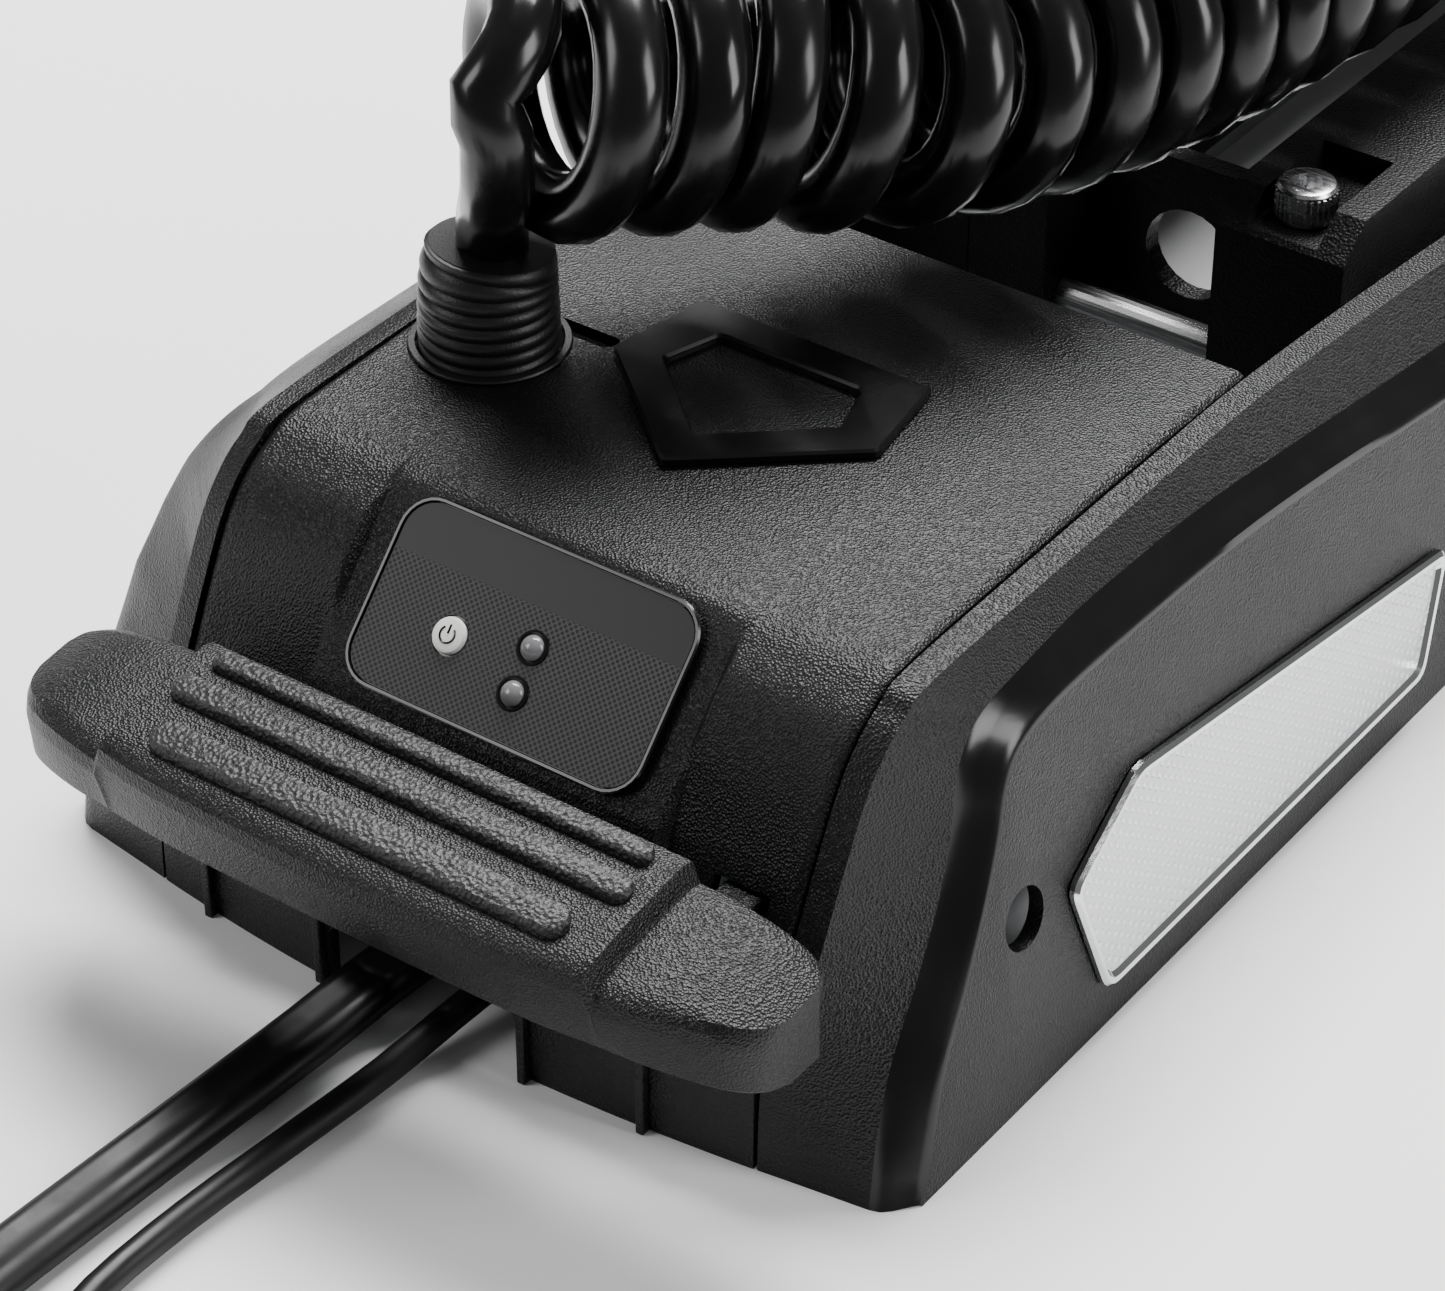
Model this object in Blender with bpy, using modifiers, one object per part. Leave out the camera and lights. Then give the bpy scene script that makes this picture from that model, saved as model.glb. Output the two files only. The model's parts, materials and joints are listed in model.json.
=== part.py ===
"""Bow-mounted electric trolling motor, deployed, on its deck mount.

Lengths are in metres, +Z is up and +Y points over the bow. The origin is the centre of the
mount's deck face. Shapes are written in the mount's own frame, whose Y starts at the mount's
rear edge, and every group of pieces that moves hangs on an empty on its joint's axis.
"""

import math

import bmesh
import bpy
from mathutils import Matrix, Vector

# Driving dimensions
GAP = 0.0004  # between pieces that touch
WALL = 0.003  # moulded shells
MOUNT_LENGTH = 0.600
DECK_HALF_WIDTH = 0.100  # outside of the side plates at the deck
SIDE_DRAFT = {1: 0.162, -1: 0.101}  # how far the right and left plates lean in, per metre of height
COVER_HALF_WIDTH = 0.0702
PLATE_INNER_X = 0.0708
PLATE_CREASE_X = 0.0760
CHAMFER_INNER_X = 0.0950  # at the deck, before the side's draft
TRAY_THICKNESS = 0.004
TRAY_HALF_WIDTH = 0.092
RIB_X = (0.062, 0.066)
RIB_HEIGHT = 0.030

TILT_Y = 0.545
TILT_Z = 0.075
MAST_Y = 0.645
MAST_RADIUS = 0.0145
MAST_BORE = 0.0115
MAST_TOP = 0.346
MAST_FOOT = -0.951
SLEEVE_RADIUS = 0.022
HOUSING_TOP = 0.190
HOUSING_FOOT = -0.060
HOUSING_WALL = 0.004
GEAR_PITCH_RADIUS = 0.030
GEAR_TEETH = 45
PINION_TEETH = 12
GEAR_Z = (0.070, 0.084)
HEAD_FOOT = 0.336
HEAD_SPLIT = 0.362
HEAD_TOP = 0.420

MOTOR_Z = -1.000
MOTOR_RADIUS = 0.046
PROP_RADIUS = 0.127
SHAFT_RADIUS = 0.005

LATCH_Y = 0.222
LATCH_Z = 0.043
SCREW_AT = (0.044, 0.226)

PEDAL_Y = 0.085
PEDAL_Z = 0.048
PEDAL_ARM_X = 0.058
PEDAL_BOTTOM = 0.040

PANEL_FOOT = Vector((0.0, 0.008, 0.0585))  # middle of the panel's lower edge
PANEL_HEAD = Vector((0.0, 0.034, 0.0860))
PANEL_HALF_WIDTH = 0.034
PANEL_THICKNESS = 0.0012
BUTTON_AT = (-0.0141, 0.0150)  # across and up the panel
LENSES_AT = {"upper": (0.0030, 0.0190), "lower": (0.0030, 0.0100)}
BUTTON_RADIUS = 0.0035
LENS_RADIUS = 0.0025

BOOT_RADIUS = 0.0145
BOOT_ROUTE = [(-0.0530, 0.0800, 0.0720), (-0.0530, 0.0800, 0.1000), (-0.0525, 0.0810, 0.1085)]
COIL_RADIUS = 0.029  # outside of the curly cord
COIL_ROUTE = [
    (-0.0508, 0.0792, 0.142),
    (-0.0451, 0.0851, 0.141),
    (-0.0272, 0.1151, 0.136),
    (-0.0068, 0.1435, 0.130),
    (0.0061, 0.1824, 0.124),
    (0.0140, 0.2400, 0.119),
    (0.0200, 0.3200, 0.120),
    (0.0180, 0.4000, 0.132),
    (0.0100, 0.4800, 0.158),
    (0.0040, 0.5450, 0.190),
    (0.0000, 0.5880, 0.222),
]
WRAP_RADIUS = (0.0255, 0.0405)  # inside and outside of the turns around the mast
WRAP_Z = (0.206, 0.334)

CABLE_RADIUS = 0.0034  # each conductor of the flat power lead
NETWORK_RADIUS = 0.0030
POWER_ROUTE = [
    (-0.004, 0.040, 0.0082),
    (-0.006, 0.020, 0.0082),
    (-0.0085, 0.000, 0.0064),
    (-0.0110, -0.025, 0.0040),
    (-0.0135, -0.050, 0.0036),
    (-0.0160, -0.075, 0.0036),
    (-0.0185, -0.098, 0.0037),
    (-0.0190, -0.112, 0.0037),
    (-0.0178, -0.122, 0.0037),
    (-0.0150, -0.1310, 0.0037),
]
NETWORK_ROUTE = [
    (0.012, 0.040, 0.0082),
    (0.008, 0.020, 0.0080),
    (0.0050, 0.000, 0.0062),
    (0.0030, -0.025, 0.0036),
    (0.0015, -0.050, 0.0032),
    (0.0000, -0.075, 0.0032),
    (0.0005, -0.098, 0.0033),
    (0.0040, -0.114, 0.0033),
    (0.0100, -0.128, 0.0033),
    (0.0170, -0.141, 0.0033),
]
# Put-away turns: the middle of the ring, its radius, half its width, its height, and the plug
# that lies inside it: how far off the middle, its radius and half its length
POWER_COIL = {"centre": (-0.052, -0.206), "radius": 0.070, "half": 0.0085, "height": 0.0215}
POWER_PLUG = {"off": 0.034, "radius": 0.0165, "half": 0.032}
NETWORK_COIL = {"centre": (0.064, -0.152), "radius": 0.033, "half": 0.0095, "height": 0.0130}
NETWORK_PLUG = {"off": 0.011, "radius": 0.0065, "half": 0.013}

PARTS = "trolling_motor"
CUTTERS = "cutters"


# Meshes

def to_mesh(name, bm):
    """Close a bmesh into a mesh whose faces point out."""
    bmesh.ops.recalc_face_normals(bm, faces=bm.faces)
    mesh = bpy.data.meshes.new(name)
    bm.to_mesh(mesh)
    bm.free()
    return mesh


def box(low, high):
    bm = bmesh.new()
    bmesh.ops.create_cube(bm, size=1.0)
    low, high = Vector(low), Vector(high)
    bmesh.ops.scale(bm, vec=high - low, verts=bm.verts)
    bmesh.ops.translate(bm, vec=(low + high) / 2, verts=bm.verts)
    return to_mesh("box", bm)


def cylinder(start, end, radius, segments=24, radius_end=None):
    """A round bar from start to end."""
    start, end = Vector(start), Vector(end)
    along = end - start
    bm = bmesh.new()
    bmesh.ops.create_cone(
        bm,
        cap_ends=True,
        segments=segments,
        radius1=radius,
        radius2=radius if radius_end is None else radius_end,
        depth=along.length,
    )
    turn = along.to_track_quat("Z", "Y").to_matrix().to_4x4()
    bmesh.ops.transform(bm, matrix=Matrix.Translation((start + end) / 2) @ turn, verts=bm.verts)
    return to_mesh("cylinder", bm)


def loft(rings):
    """A closed solid through rings of equally many points."""
    bm = bmesh.new()
    rows = [[bm.verts.new(p) for p in ring] for ring in rings]
    count = len(rows[0])
    for low, high in zip(rows, rows[1:]):
        for i in range(count):
            j = (i + 1) % count
            bm.faces.new((low[i], low[j], high[j], high[i]))
    bm.faces.new(rows[0])
    bm.faces.new(rows[-1])
    return to_mesh("loft", bm)


def prism(outline, low, high, axis="X"):
    """A flat outline drawn out along an axis: its points are (y, z), (x, z) or (x, y)."""
    place = {
        "X": lambda a, b, c: (c, a, b),
        "Y": lambda a, b, c: (a, c, b),
        "Z": lambda a, b, c: (a, b, c),
    }[axis]
    return loft([[place(a, b, c) for a, b in outline] for c in (low, high)])


def arc(centre, radius, start, end, steps):
    """Points on a circle from one angle to another, in degrees."""
    turns = [math.radians(start + (end - start) * i / steps) for i in range(steps + 1)]
    return [(centre[0] + radius * math.cos(t), centre[1] + radius * math.sin(t)) for t in turns]


def rounded(half_x, half_y, radius, centre=(0.0, 0.0), steps=3):
    """A rectangle with round corners, as an outline."""
    corners = ((1, 1, 0), (-1, 1, 90), (-1, -1, 180), (1, -1, 270))
    points = []
    for sx, sy, start in corners:
        middle = (centre[0] + sx * (half_x - radius), centre[1] + sy * (half_y - radius))
        points += arc(middle, radius, start, start + 90, steps)
    return points


def smooth(points, steps):
    """A smooth curve through points, as steps points for each of its spans."""
    points = [Vector(p) for p in points]
    padded = [2 * points[0] - points[1], *points, 2 * points[-1] - points[-2]]
    out = []
    for a, b, c, d in zip(padded, padded[1:], padded[2:], padded[3:]):
        for i in range(steps):
            t = i / steps
            square = (2 * a - 5 * b + 4 * c - d) * t * t
            cube = (3 * b - a - 3 * c + d) * t**3
            out.append(0.5 * (2 * b + (c - a) * t + square + cube))
    return [*out, points[-1]]


def gear_outline(teeth, pitch_radius):
    """A spur gear's rim, four points a tooth, with room for backlash."""
    points = []
    for i in range(teeth):
        for share, height in ((-0.26, -0.0012), (-0.10, 0.0008), (0.10, 0.0008), (0.26, -0.0012)):
            turn = 2 * math.pi * (i + share) / teeth
            radius = pitch_radius + height
            points.append((radius * math.cos(turn), radius * math.sin(turn)))
    return points


# Objects

def material(name, colour, roughness, metallic=0.0):
    made = bpy.data.materials.new(name)
    made.use_nodes = True
    shader = made.node_tree.nodes["Principled BSDF"]
    shader.inputs["Base Color"].default_value = (*colour, 1.0)
    shader.inputs["Roughness"].default_value = roughness
    shader.inputs["Metallic"].default_value = metallic
    return made


FINISHES = {
    "black_plastic": ((0.020, 0.020, 0.021), 0.55, 0.0),
    "gloss_black": ((0.010, 0.010, 0.011), 0.15, 0.0),
    "rubber": ((0.015, 0.015, 0.015), 0.75, 0.0),
    "steel": ((0.62, 0.62, 0.63), 0.22, 1.0),
    "aluminium": ((0.50, 0.51, 0.52), 0.40, 1.0),
    "silver_badge": ((0.75, 0.76, 0.78), 0.35, 0.6),
    "composite": ((0.018, 0.018, 0.019), 0.35, 0.0),
    "white_plastic": ((0.80, 0.80, 0.78), 0.40, 0.0),
    "lens_grey": ((0.20, 0.20, 0.21), 0.20, 0.0),
    "board_green": ((0.02, 0.16, 0.07), 0.50, 0.0),
    "bronze": ((0.42, 0.27, 0.12), 0.35, 1.0),
    "copper": ((0.60, 0.28, 0.14), 0.35, 1.0),
    "ferrite": ((0.08, 0.08, 0.085), 0.60, 0.0),
    "cable_black": ((0.012, 0.012, 0.012), 0.30, 0.0),
    "painted_black": ((0.030, 0.030, 0.032), 0.35, 0.3),
}


class Builder:
    """Places meshes, written in the mount's frame, on the empties of their groups."""

    def __init__(self):
        for item in list(bpy.data.objects):
            bpy.data.objects.remove(item)
        self.parts = self.collection(PARTS)
        self.cutters = self.collection(CUTTERS)
        self.anchors = {}
        self.add_anchor("mount", None, (0.0, 0.0, 0.0))
        self.anchors["mount"][0].location = (0.0, -MOUNT_LENGTH / 2, 0.0)

    @staticmethod
    def collection(name):
        made = bpy.data.collections.new(name)
        bpy.context.scene.collection.children.link(made)
        return made

    def add_anchor(self, name, parent, place):
        """An empty at a joint's axis, at a place in the mount's frame."""
        empty = bpy.data.objects.new(f"{name}_axis", None)
        empty.empty_display_size = 0.02
        self.parts.objects.link(empty)
        if parent:
            empty.parent = self.anchors[parent][0]
            empty.location = Vector(place) - self.anchors[parent][1]
        self.anchors[name] = (empty, Vector(place))

    def put(self, name, mesh, finish, group="mount", smooth_angle=35.0):
        empty, place = self.anchors[group]
        mesh.name = name
        mesh.transform(Matrix.Translation(-place))
        item = bpy.data.objects.new(name, mesh)
        item.parent = empty
        self.parts.objects.link(item)
        item.data.materials.append(material(name, *FINISHES[finish]))
        item.data.shade_smooth()
        item.data.set_sharp_from_angle(angle=math.radians(smooth_angle))
        return item

    def turned(self, name, profile, finish, group, place, axis="Z", steps=32, ring=False):
        """A profile of (radius, height) points, run down its outer side, turned about an axis."""
        mesh = bpy.data.meshes.new(name)
        verts = [(r, 0.0, h) for r, h in profile]
        edges = [(i, i + 1) for i in range(len(verts) - 1)]
        if ring:
            edges.append((len(verts) - 1, 0))
        mesh.from_pydata(verts, edges, [])
        item = bpy.data.objects.new(name, mesh)
        empty, origin = self.anchors[group]
        item.parent = empty
        item.location = Vector(place) - origin
        item.rotation_euler = {"X": (0, math.pi / 2, 0), "Y": (-math.pi / 2, 0, 0), "Z": (0, 0, 0)}[axis]
        self.parts.objects.link(item)
        item.data.materials.append(material(name, *FINISHES[finish]))
        screw = item.modifiers.new("Turn", "SCREW")
        screw.steps = steps
        screw.render_steps = steps
        screw.use_merge_vertices = True
        screw.merge_threshold = 0.00001
        screw.use_smooth_shade = True
        return item

    def shape(self, item, mesh, operation="DIFFERENCE"):
        """Cut a mesh in the mount's frame out of an object, or join it on."""
        cutter = bpy.data.objects.new(f"{item.name}_{operation.lower()}", mesh)
        cutter.parent = self.anchors["mount"][0]
        cutter.hide_render = True
        cutter.display_type = "WIRE"
        self.cutters.objects.link(cutter)
        change = item.modifiers.new("Shape", "BOOLEAN")
        change.operation = operation
        change.object = cutter

    def bevel(self, item, width, segments=2, angle=40.0):
        edge = item.modifiers.new("Edge", "BEVEL")
        edge.width = width
        edge.segments = segments
        edge.limit_method = "ANGLE"
        edge.angle_limit = math.radians(angle)

    def tube(self, name, route, radius, finish, group="mount", resolution=2, thick=None):
        """A bar along points; thick gives a share of the radius at each point."""
        empty, place = self.anchors[group]
        curve = bpy.data.curves.new(name, "CURVE")
        curve.dimensions = "3D"
        curve.bevel_depth = radius
        curve.bevel_resolution = resolution
        curve.use_fill_caps = True
        line = curve.splines.new("POLY")
        line.points.add(len(route) - 1)
        for i, (point, at) in enumerate(zip(line.points, route)):
            point.co = (*(Vector(at) - place), 1.0)
            if thick:
                point.radius = thick[i]
        item = bpy.data.objects.new(name, curve)
        item.parent = empty
        self.parts.objects.link(item)
        item.data.materials.append(material(name, *FINISHES[finish]))
        return item


# The mount: tray, side plates, cover

# Side view of the cover, (y, z) from the rear foot to the bow edge
COVER_SIDE = [
    (-0.0028, 0.0260),
    (0.0025, 0.0370),
    (0.0085, 0.0485),
    (0.0100, 0.0515),
    (0.0130, 0.0580),
    (0.0200, 0.0714),
    (0.0260, 0.0786),
    (0.0320, 0.0826),
    (0.0400, 0.0857),
    (0.0570, 0.0865),
    (0.1030, 0.0870),
    (0.1570, 0.0860),
]
# The same stations on the raised pod that carries the panel
POD_SIDE = [
    (-0.0028, 0.0260),
    (0.0015, 0.0370),
    (0.0050, 0.0480),
    (0.0076, 0.0550),
    (0.0092, 0.0572),
    (0.0202, 0.0689),
    (0.0262, 0.0753),
    (0.0346, 0.0842),
    (0.0400, 0.0863),
    (0.0570, 0.0867),
    (0.1030, 0.0870),
    (0.1570, 0.0860),
]
POD_HALF_WIDTH = 0.0405
# Each rail of a side plate, (y, z), from the rear foot over the top to the bow foot
RAIL_INNER = [
    (-0.0075, 0.0), (-0.0050, 0.0120), (-0.0025, 0.0255), (0.0028, 0.0375), (0.0085, 0.0485),
    (0.0130, 0.0580), (0.0200, 0.0714), (0.0260, 0.0786), (0.0320, 0.0826), (0.0410, 0.0856),
    (0.0860, 0.0862), (0.1210, 0.0862), (0.1570, 0.0857), (0.2140, 0.0810), (0.3000, 0.0715),
    (0.4000, 0.0605), (0.5000, 0.0505), (0.5700, 0.0435), (0.5900, 0.0330), (0.5960, 0.0),
]
RAIL_CHAMFER = [
    (0.0, 0.0), (0.0048, 0.0110), (0.0120, 0.0240), (0.0215, 0.0350), (0.0310, 0.0473),
    (0.0370, 0.0584), (0.0403, 0.0672), (0.0441, 0.0723), (0.0500, 0.0756), (0.0600, 0.0773),
    (0.0860, 0.0777), (0.1210, 0.0766), (0.1570, 0.0730), (0.2140, 0.0664), (0.3000, 0.0580),
    (0.4000, 0.0490), (0.5000, 0.0410), (0.5720, 0.0350), (0.5920, 0.0260), (0.5980, 0.0),
]
RAIL_OUTER = [
    (0.0060, 0.0), (0.0113, 0.0110), (0.0180, 0.0240), (0.0265, 0.0350), (0.0351, 0.0473),
    (0.0415, 0.0580), (0.0449, 0.0655), (0.0493, 0.0708), (0.0576, 0.0733), (0.0700, 0.0742),
    (0.0900, 0.0742), (0.1250, 0.0732), (0.1600, 0.0698), (0.2140, 0.0626), (0.3000, 0.0540),
    (0.4000, 0.0450), (0.5000, 0.0370), (0.5740, 0.0310), (0.5940, 0.0220), (0.6000, 0.0),
]
# The left plate flares at its rear corner: how far out and back, station by station from the foot
LEFT_FLARE = [
    (0.0, 0.0), (0.0011, 0.0030), (0.0024, 0.0060), (0.0035, 0.0080), (0.0048, 0.0090),
    (0.0045, 0.0075), (0.0035, 0.0050), (0.0017, 0.0020),
]
CREASE_BACK = 0.0008  # how far the crease lies forward of and below the inner rail
BADGE = [(0.0666, 0.0085), (0.1867, 0.0092), (0.1995, 0.0324), (0.0837, 0.0473), (0.0591, 0.0347)]
ACCESS_HOLE = (0.0460, 0.0366)
ACCESS_HOLE_RADIUS = 0.0062
WINDOW = ((0.014, 0.250), (0.050, 0.540))
FIXING_HOLES = [(0.040, 0.120), (0.040, 0.570)]


def base_tray(b):
    """The flat deck plate with two ribs along it."""
    t, w = TRAY_THICKNESS, TRAY_HALF_WIDTH
    inner, outer = RIB_X
    right = [(w, 0.0), (w, t), (outer, t), (outer, RIB_HEIGHT), (inner, RIB_HEIGHT), (inner, t)]
    outline = right + [(-x, z) for x, z in reversed(right)]
    tray = b.put("base_tray", prism(outline, 0.014, 0.586, "Y"), "aluminium")
    (x0, y0), (x1, y1) = WINDOW
    for side in (-1, 1):
        ends = sorted((side * x0, side * x1))
        b.shape(tray, box((ends[0], y0, -0.01), (ends[1], y1, 0.02)))
        for x, y in FIXING_HOLES:
            b.shape(tray, cylinder((side * x, y, -0.01), (side * x, y, 0.02), 0.0035, 16))


def leaning(side, x_at_deck, z):
    """Where a side's drafted plane is at a height."""
    return x_at_deck - SIDE_DRAFT[side] * z


def inward(line, i):
    """The unit vector, in (y, z), square to a side view's line at a point and into the mount."""
    (y0, z0), (y1, z1) = line[max(i - 1, 0)], line[min(i + 1, len(line) - 1)]
    ahead = Vector((y1 - y0, z1 - z0)).normalized()
    return Vector((ahead.y, -ahead.x))


def side_plate(b, side, name):
    """A moulded shell: at each station a section runs over the top edge and down the side."""
    rings = []
    for i, ((ya, za), (yc, zc), (yd, zd)) in enumerate(zip(RAIL_INNER, RAIL_CHAMFER, RAIL_OUTER)):
        low = WALL * inward(RAIL_INNER, i)
        mid = WALL * inward(RAIL_CHAMFER, i)
        out = 0.7 * WALL * inward(RAIL_OUTER, i)
        zd = max(zd, 0.0005)
        flare, swept = LEFT_FLARE[i] if side < 0 and i < len(LEFT_FLARE) else (0.0, 0.0)
        xc = leaning(side, CHAMFER_INNER_X, zc) + flare
        xd = leaning(side, DECK_HALF_WIDTH, zd) + flare
        yc, yd = yc - swept, yd - swept
        yb, zb = ya + CREASE_BACK, max(0.0, za - CREASE_BACK)
        section = [
            (PLATE_INNER_X, ya, za),
            (PLATE_CREASE_X, yb, zb),
            (xc, yc, zc),
            (xd, yd, zd),
            (DECK_HALF_WIDTH, yd, 0.0),
            (DECK_HALF_WIDTH - WALL, yd + out.x, 0.0),
            (xd - WALL, yd + out.x, max(0.0004, zd + out.y)),
            (xc - 0.6 * WALL, yc + mid.x, max(0.0, zc + mid.y)),
            (PLATE_CREASE_X, yb + low.x, max(0.0, zb + low.y)),
            (PLATE_INNER_X, ya + low.x, max(0.0, za + low.y)),
        ]
        rings.append([(side * x, y, z) for x, y, z in section])
    plate = b.put(name, loft(rings), "black_plastic")
    y, z = ACCESS_HOLE
    b.shape(plate, cylinder((side * 0.08, y, z), (side * 0.11, y, z), ACCESS_HOLE_RADIUS, 20))


def badge(b, side, name):
    """The five-sided nameplate, standing on the side plate's drafted face."""
    rings = []
    for stand in (GAP, 0.0022):
        rings.append([(side * (leaning(side, DECK_HALF_WIDTH, z) + stand), y, z) for y, z in BADGE])
    b.put(name, loft(rings), "silver_badge")


def centre_cover(b):
    """A moulded shell, wall by wall across its width, with the pod that carries the panel."""
    edge = 0.0012
    skirt, wall = 0.0100, 0.0025
    half = [
        (-COVER_HALF_WIDTH, edge, skirt, COVER_SIDE),
        (-COVER_HALF_WIDTH + edge, 0.0, skirt, COVER_SIDE),
        (-COVER_HALF_WIDTH + wall, 0.0, skirt, COVER_SIDE),
        (-COVER_HALF_WIDTH + wall + 0.0003, 0.0, wall, COVER_SIDE),
        (-POD_HALF_WIDTH - 0.0015, 0.0, wall, COVER_SIDE),
        (-POD_HALF_WIDTH, 0.0, wall, POD_SIDE),
    ]
    columns = half + [(-x, *rest) for x, *rest in reversed(half)]
    rings = []
    for x, sunk, thick, outside in columns:
        ring = []
        for line, depth, order in ((outside, sunk, 1), (COVER_SIDE, thick, -1)):
            run = []
            for i, (y, z) in enumerate(line):
                into = depth * inward(line, i)
                run.append((x, y + into.x, z + into.y))
            ring += run[::order]
        rings.append(ring)
    cover = b.put("centre_cover", loft(rings), "black_plastic")
    x, y, _ = BOOT_ROUTE[0]
    b.shape(cover, cylinder((x, y, 0.06), (x, y, 0.12), BOOT_RADIUS + 0.002, 24))
    for side in (-1, 1):
        middle = side * PEDAL_ARM_X
        b.shape(cover, box((middle - 0.006, -0.02, 0.015), (middle + 0.006, 0.020, 0.0508)))


def cover_emblem(b):
    """A raised five-sided ring on the cover."""
    top = 0.0895
    low = 0.0870 + GAP
    ring = [(0.0, 0.064), (0.031, 0.090), (0.027, 0.114), (-0.027, 0.114), (-0.031, 0.090)]
    emblem = b.put("cover_emblem", prism(ring, low, top, "Z"), "gloss_black")
    hole = [(0.0, 0.0745), (0.0205, 0.0925), (0.0165, 0.1055), (-0.0165, 0.1055), (-0.0205, 0.0925)]
    b.shape(emblem, prism(hole, 0.08, 0.10, "Z"))


PANEL_UP = (PANEL_HEAD - PANEL_FOOT).normalized()
PANEL_OUT = Vector((0.0, -PANEL_UP.z, PANEL_UP.y))


def on_panel(across, up, out):
    return Vector((across, 0.0, 0.0)) + PANEL_FOOT + PANEL_UP * up + PANEL_OUT * out


def control_panel(b):
    length = (PANEL_HEAD - PANEL_FOOT).length
    outline = rounded(PANEL_HALF_WIDTH, length / 2, 0.008, (0.0, length / 2))
    rings = [[on_panel(x, u, out) for x, u in outline] for out in (-PANEL_THICKNESS, 0.0)]
    panel = b.put("control_panel", loft(rings), "black_plastic")
    x, u = BUTTON_AT
    b.shape(panel, cylinder(on_panel(x, u, -0.01), on_panel(x, u, 0.01), BUTTON_RADIUS + GAP, 20))
    cover = bpy.data.objects["centre_cover"]
    b.shape(cover, cylinder(on_panel(x, u, -0.02), on_panel(x, u, 0.01), BUTTON_RADIUS + 0.001, 20))
    for name, (x, u) in LENSES_AT.items():
        b.shape(panel, cylinder(on_panel(x, u, -0.01), on_panel(x, u, 0.01), LENS_RADIUS + GAP, 16))
        lens = cylinder(on_panel(x, u, -PANEL_THICKNESS), on_panel(x, u, 0.0006), LENS_RADIUS, 16)
        b.put(f"status_lens_{name}", lens, "lens_grey")


def power_button(b):
    x, u = BUTTON_AT
    button = cylinder(on_panel(x, u, -0.0060), on_panel(x, u, 0.0010), BUTTON_RADIUS, 20)
    b.put("power_button", button, "white_plastic", "button")


def control_board(b):
    b.put("control_board", box((-0.045, 0.060, 0.066), (0.030, 0.130, 0.0676)), "board_green")
    # a post carries the board from the tray
    b.shape(
        bpy.data.objects["control_board"],
        cylinder((0.0, 0.100, TRAY_THICKNESS + GAP), (0.0, 0.100, 0.067), 0.004, 12),
        "UNION",
    )


def fascia_y(x):
    """The rear edge of the fascia bows out between the side plates."""
    return -0.0086 + 0.0048 * (x / 0.069) ** 2


def rear_fascia(b):
    half = 0.0700
    count = 12
    across = [-half + 2 * half * i / count for i in range(count + 1)]
    outer = [(x, fascia_y(x)) for x in across]
    inner = [(x, fascia_y(x) + 0.0025) for x in reversed(across)]
    fascia = b.put("rear_fascia", prism(outer + inner, 0.0, 0.0245, "Z"), "black_plastic")
    arch = [
        (-0.0245, -0.01), (0.0205, -0.01), (0.0205, 0.012),
        (0.0165, 0.0185), (-0.0205, 0.0185), (-0.0245, 0.012),
    ]
    b.shape(fascia, prism(arch, -0.02, 0.02, "Y"))


def cable_clamp(b):
    """The strain relief block that grips the leads just inside the outlet."""
    block = box((-0.016, 0.026, TRAY_THICKNESS + GAP), (0.020, 0.038, 0.0145))
    clamp = b.put("cable_clamp", block, "black_plastic")
    b.shape(clamp, box((-0.0125, 0.02, 0.0042), (0.0035, 0.045, 0.0120)))
    b.shape(clamp, box((0.0060, 0.02, 0.0042), (0.0160, 0.045, 0.0120)))


# Bow brackets and the latch in the open bay

def bow_bracket(b, side, name):
    outline = [
        (0.214, 0.030), (0.214, 0.078), (0.222, 0.085), (0.500, 0.085), (0.528, 0.092),
        (0.562, 0.092), (0.572, 0.075), (0.582, 0.040), (0.584, 0.0044), (0.250, 0.0044),
        (0.244, 0.030),
    ]
    ends = sorted((side * 0.030, side * 0.060))
    bracket = b.put(name, prism(outline, *ends), "black_plastic")
    pocket = sorted((side * 0.029, side * 0.052))
    b.shape(bracket, box((pocket[0], 0.262, -0.01), (pocket[1], 0.60, 0.072)))
    b.shape(bracket, cylinder((side * 0.02, TILT_Y, TILT_Z), (side * 0.07, TILT_Y, TILT_Z), 0.0064, 20))
    b.shape(bracket, cylinder((side * 0.02, LATCH_Y, LATCH_Z), (side * 0.045, LATCH_Y, LATCH_Z), 0.0044, 16))
    recess = sorted((side * 0.0365, side * 0.053))
    b.shape(bracket, box((recess[0], 0.210, 0.0790), (recess[1], 0.246, 0.1)))
    x, y = side * SCREW_AT[0], SCREW_AT[1]
    b.shape(bracket, cylinder((x, y, 0.06), (x, y, 0.1), 0.0043, 16))


def bracket_screw(b, side, name):
    """A socket-head screw that ties a bracket down."""
    x, y = side * SCREW_AT[0], SCREW_AT[1]
    screw = b.put(name, cylinder((x, y, 0.0794), (x, y, 0.0874), 0.0065, 24), "steel")
    b.shape(screw, cylinder((x, y, 0.065), (x, y, 0.080), 0.0039, 16), "UNION")
    b.shape(screw, cylinder((x, y, 0.083), (x, y, 0.1), 0.0034, 6))


def cross_plate(b):
    """The plate that ties the brackets, with its latch block and a lightening hole."""
    plate = b.put("cross_plate", box((-0.0296, 0.232, 0.020), (0.0296, 0.237, 0.078)), "black_plastic")
    b.shape(plate, box((-0.0296, 0.214, 0.030), (-0.0105, 0.2325, 0.078)), "UNION")
    b.shape(plate, cylinder((0.014, 0.22, 0.056), (0.014, 0.25, 0.056), 0.0105, 24))
    b.shape(plate, cylinder((-0.04, LATCH_Y, LATCH_Z), (0.0, LATCH_Y, LATCH_Z), 0.0044, 16))


def latch_pin(b):
    b.put("latch_pin", cylinder((-0.026, LATCH_Y, LATCH_Z), (0.040, LATCH_Y, LATCH_Z), 0.0040, 20), "steel")


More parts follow.
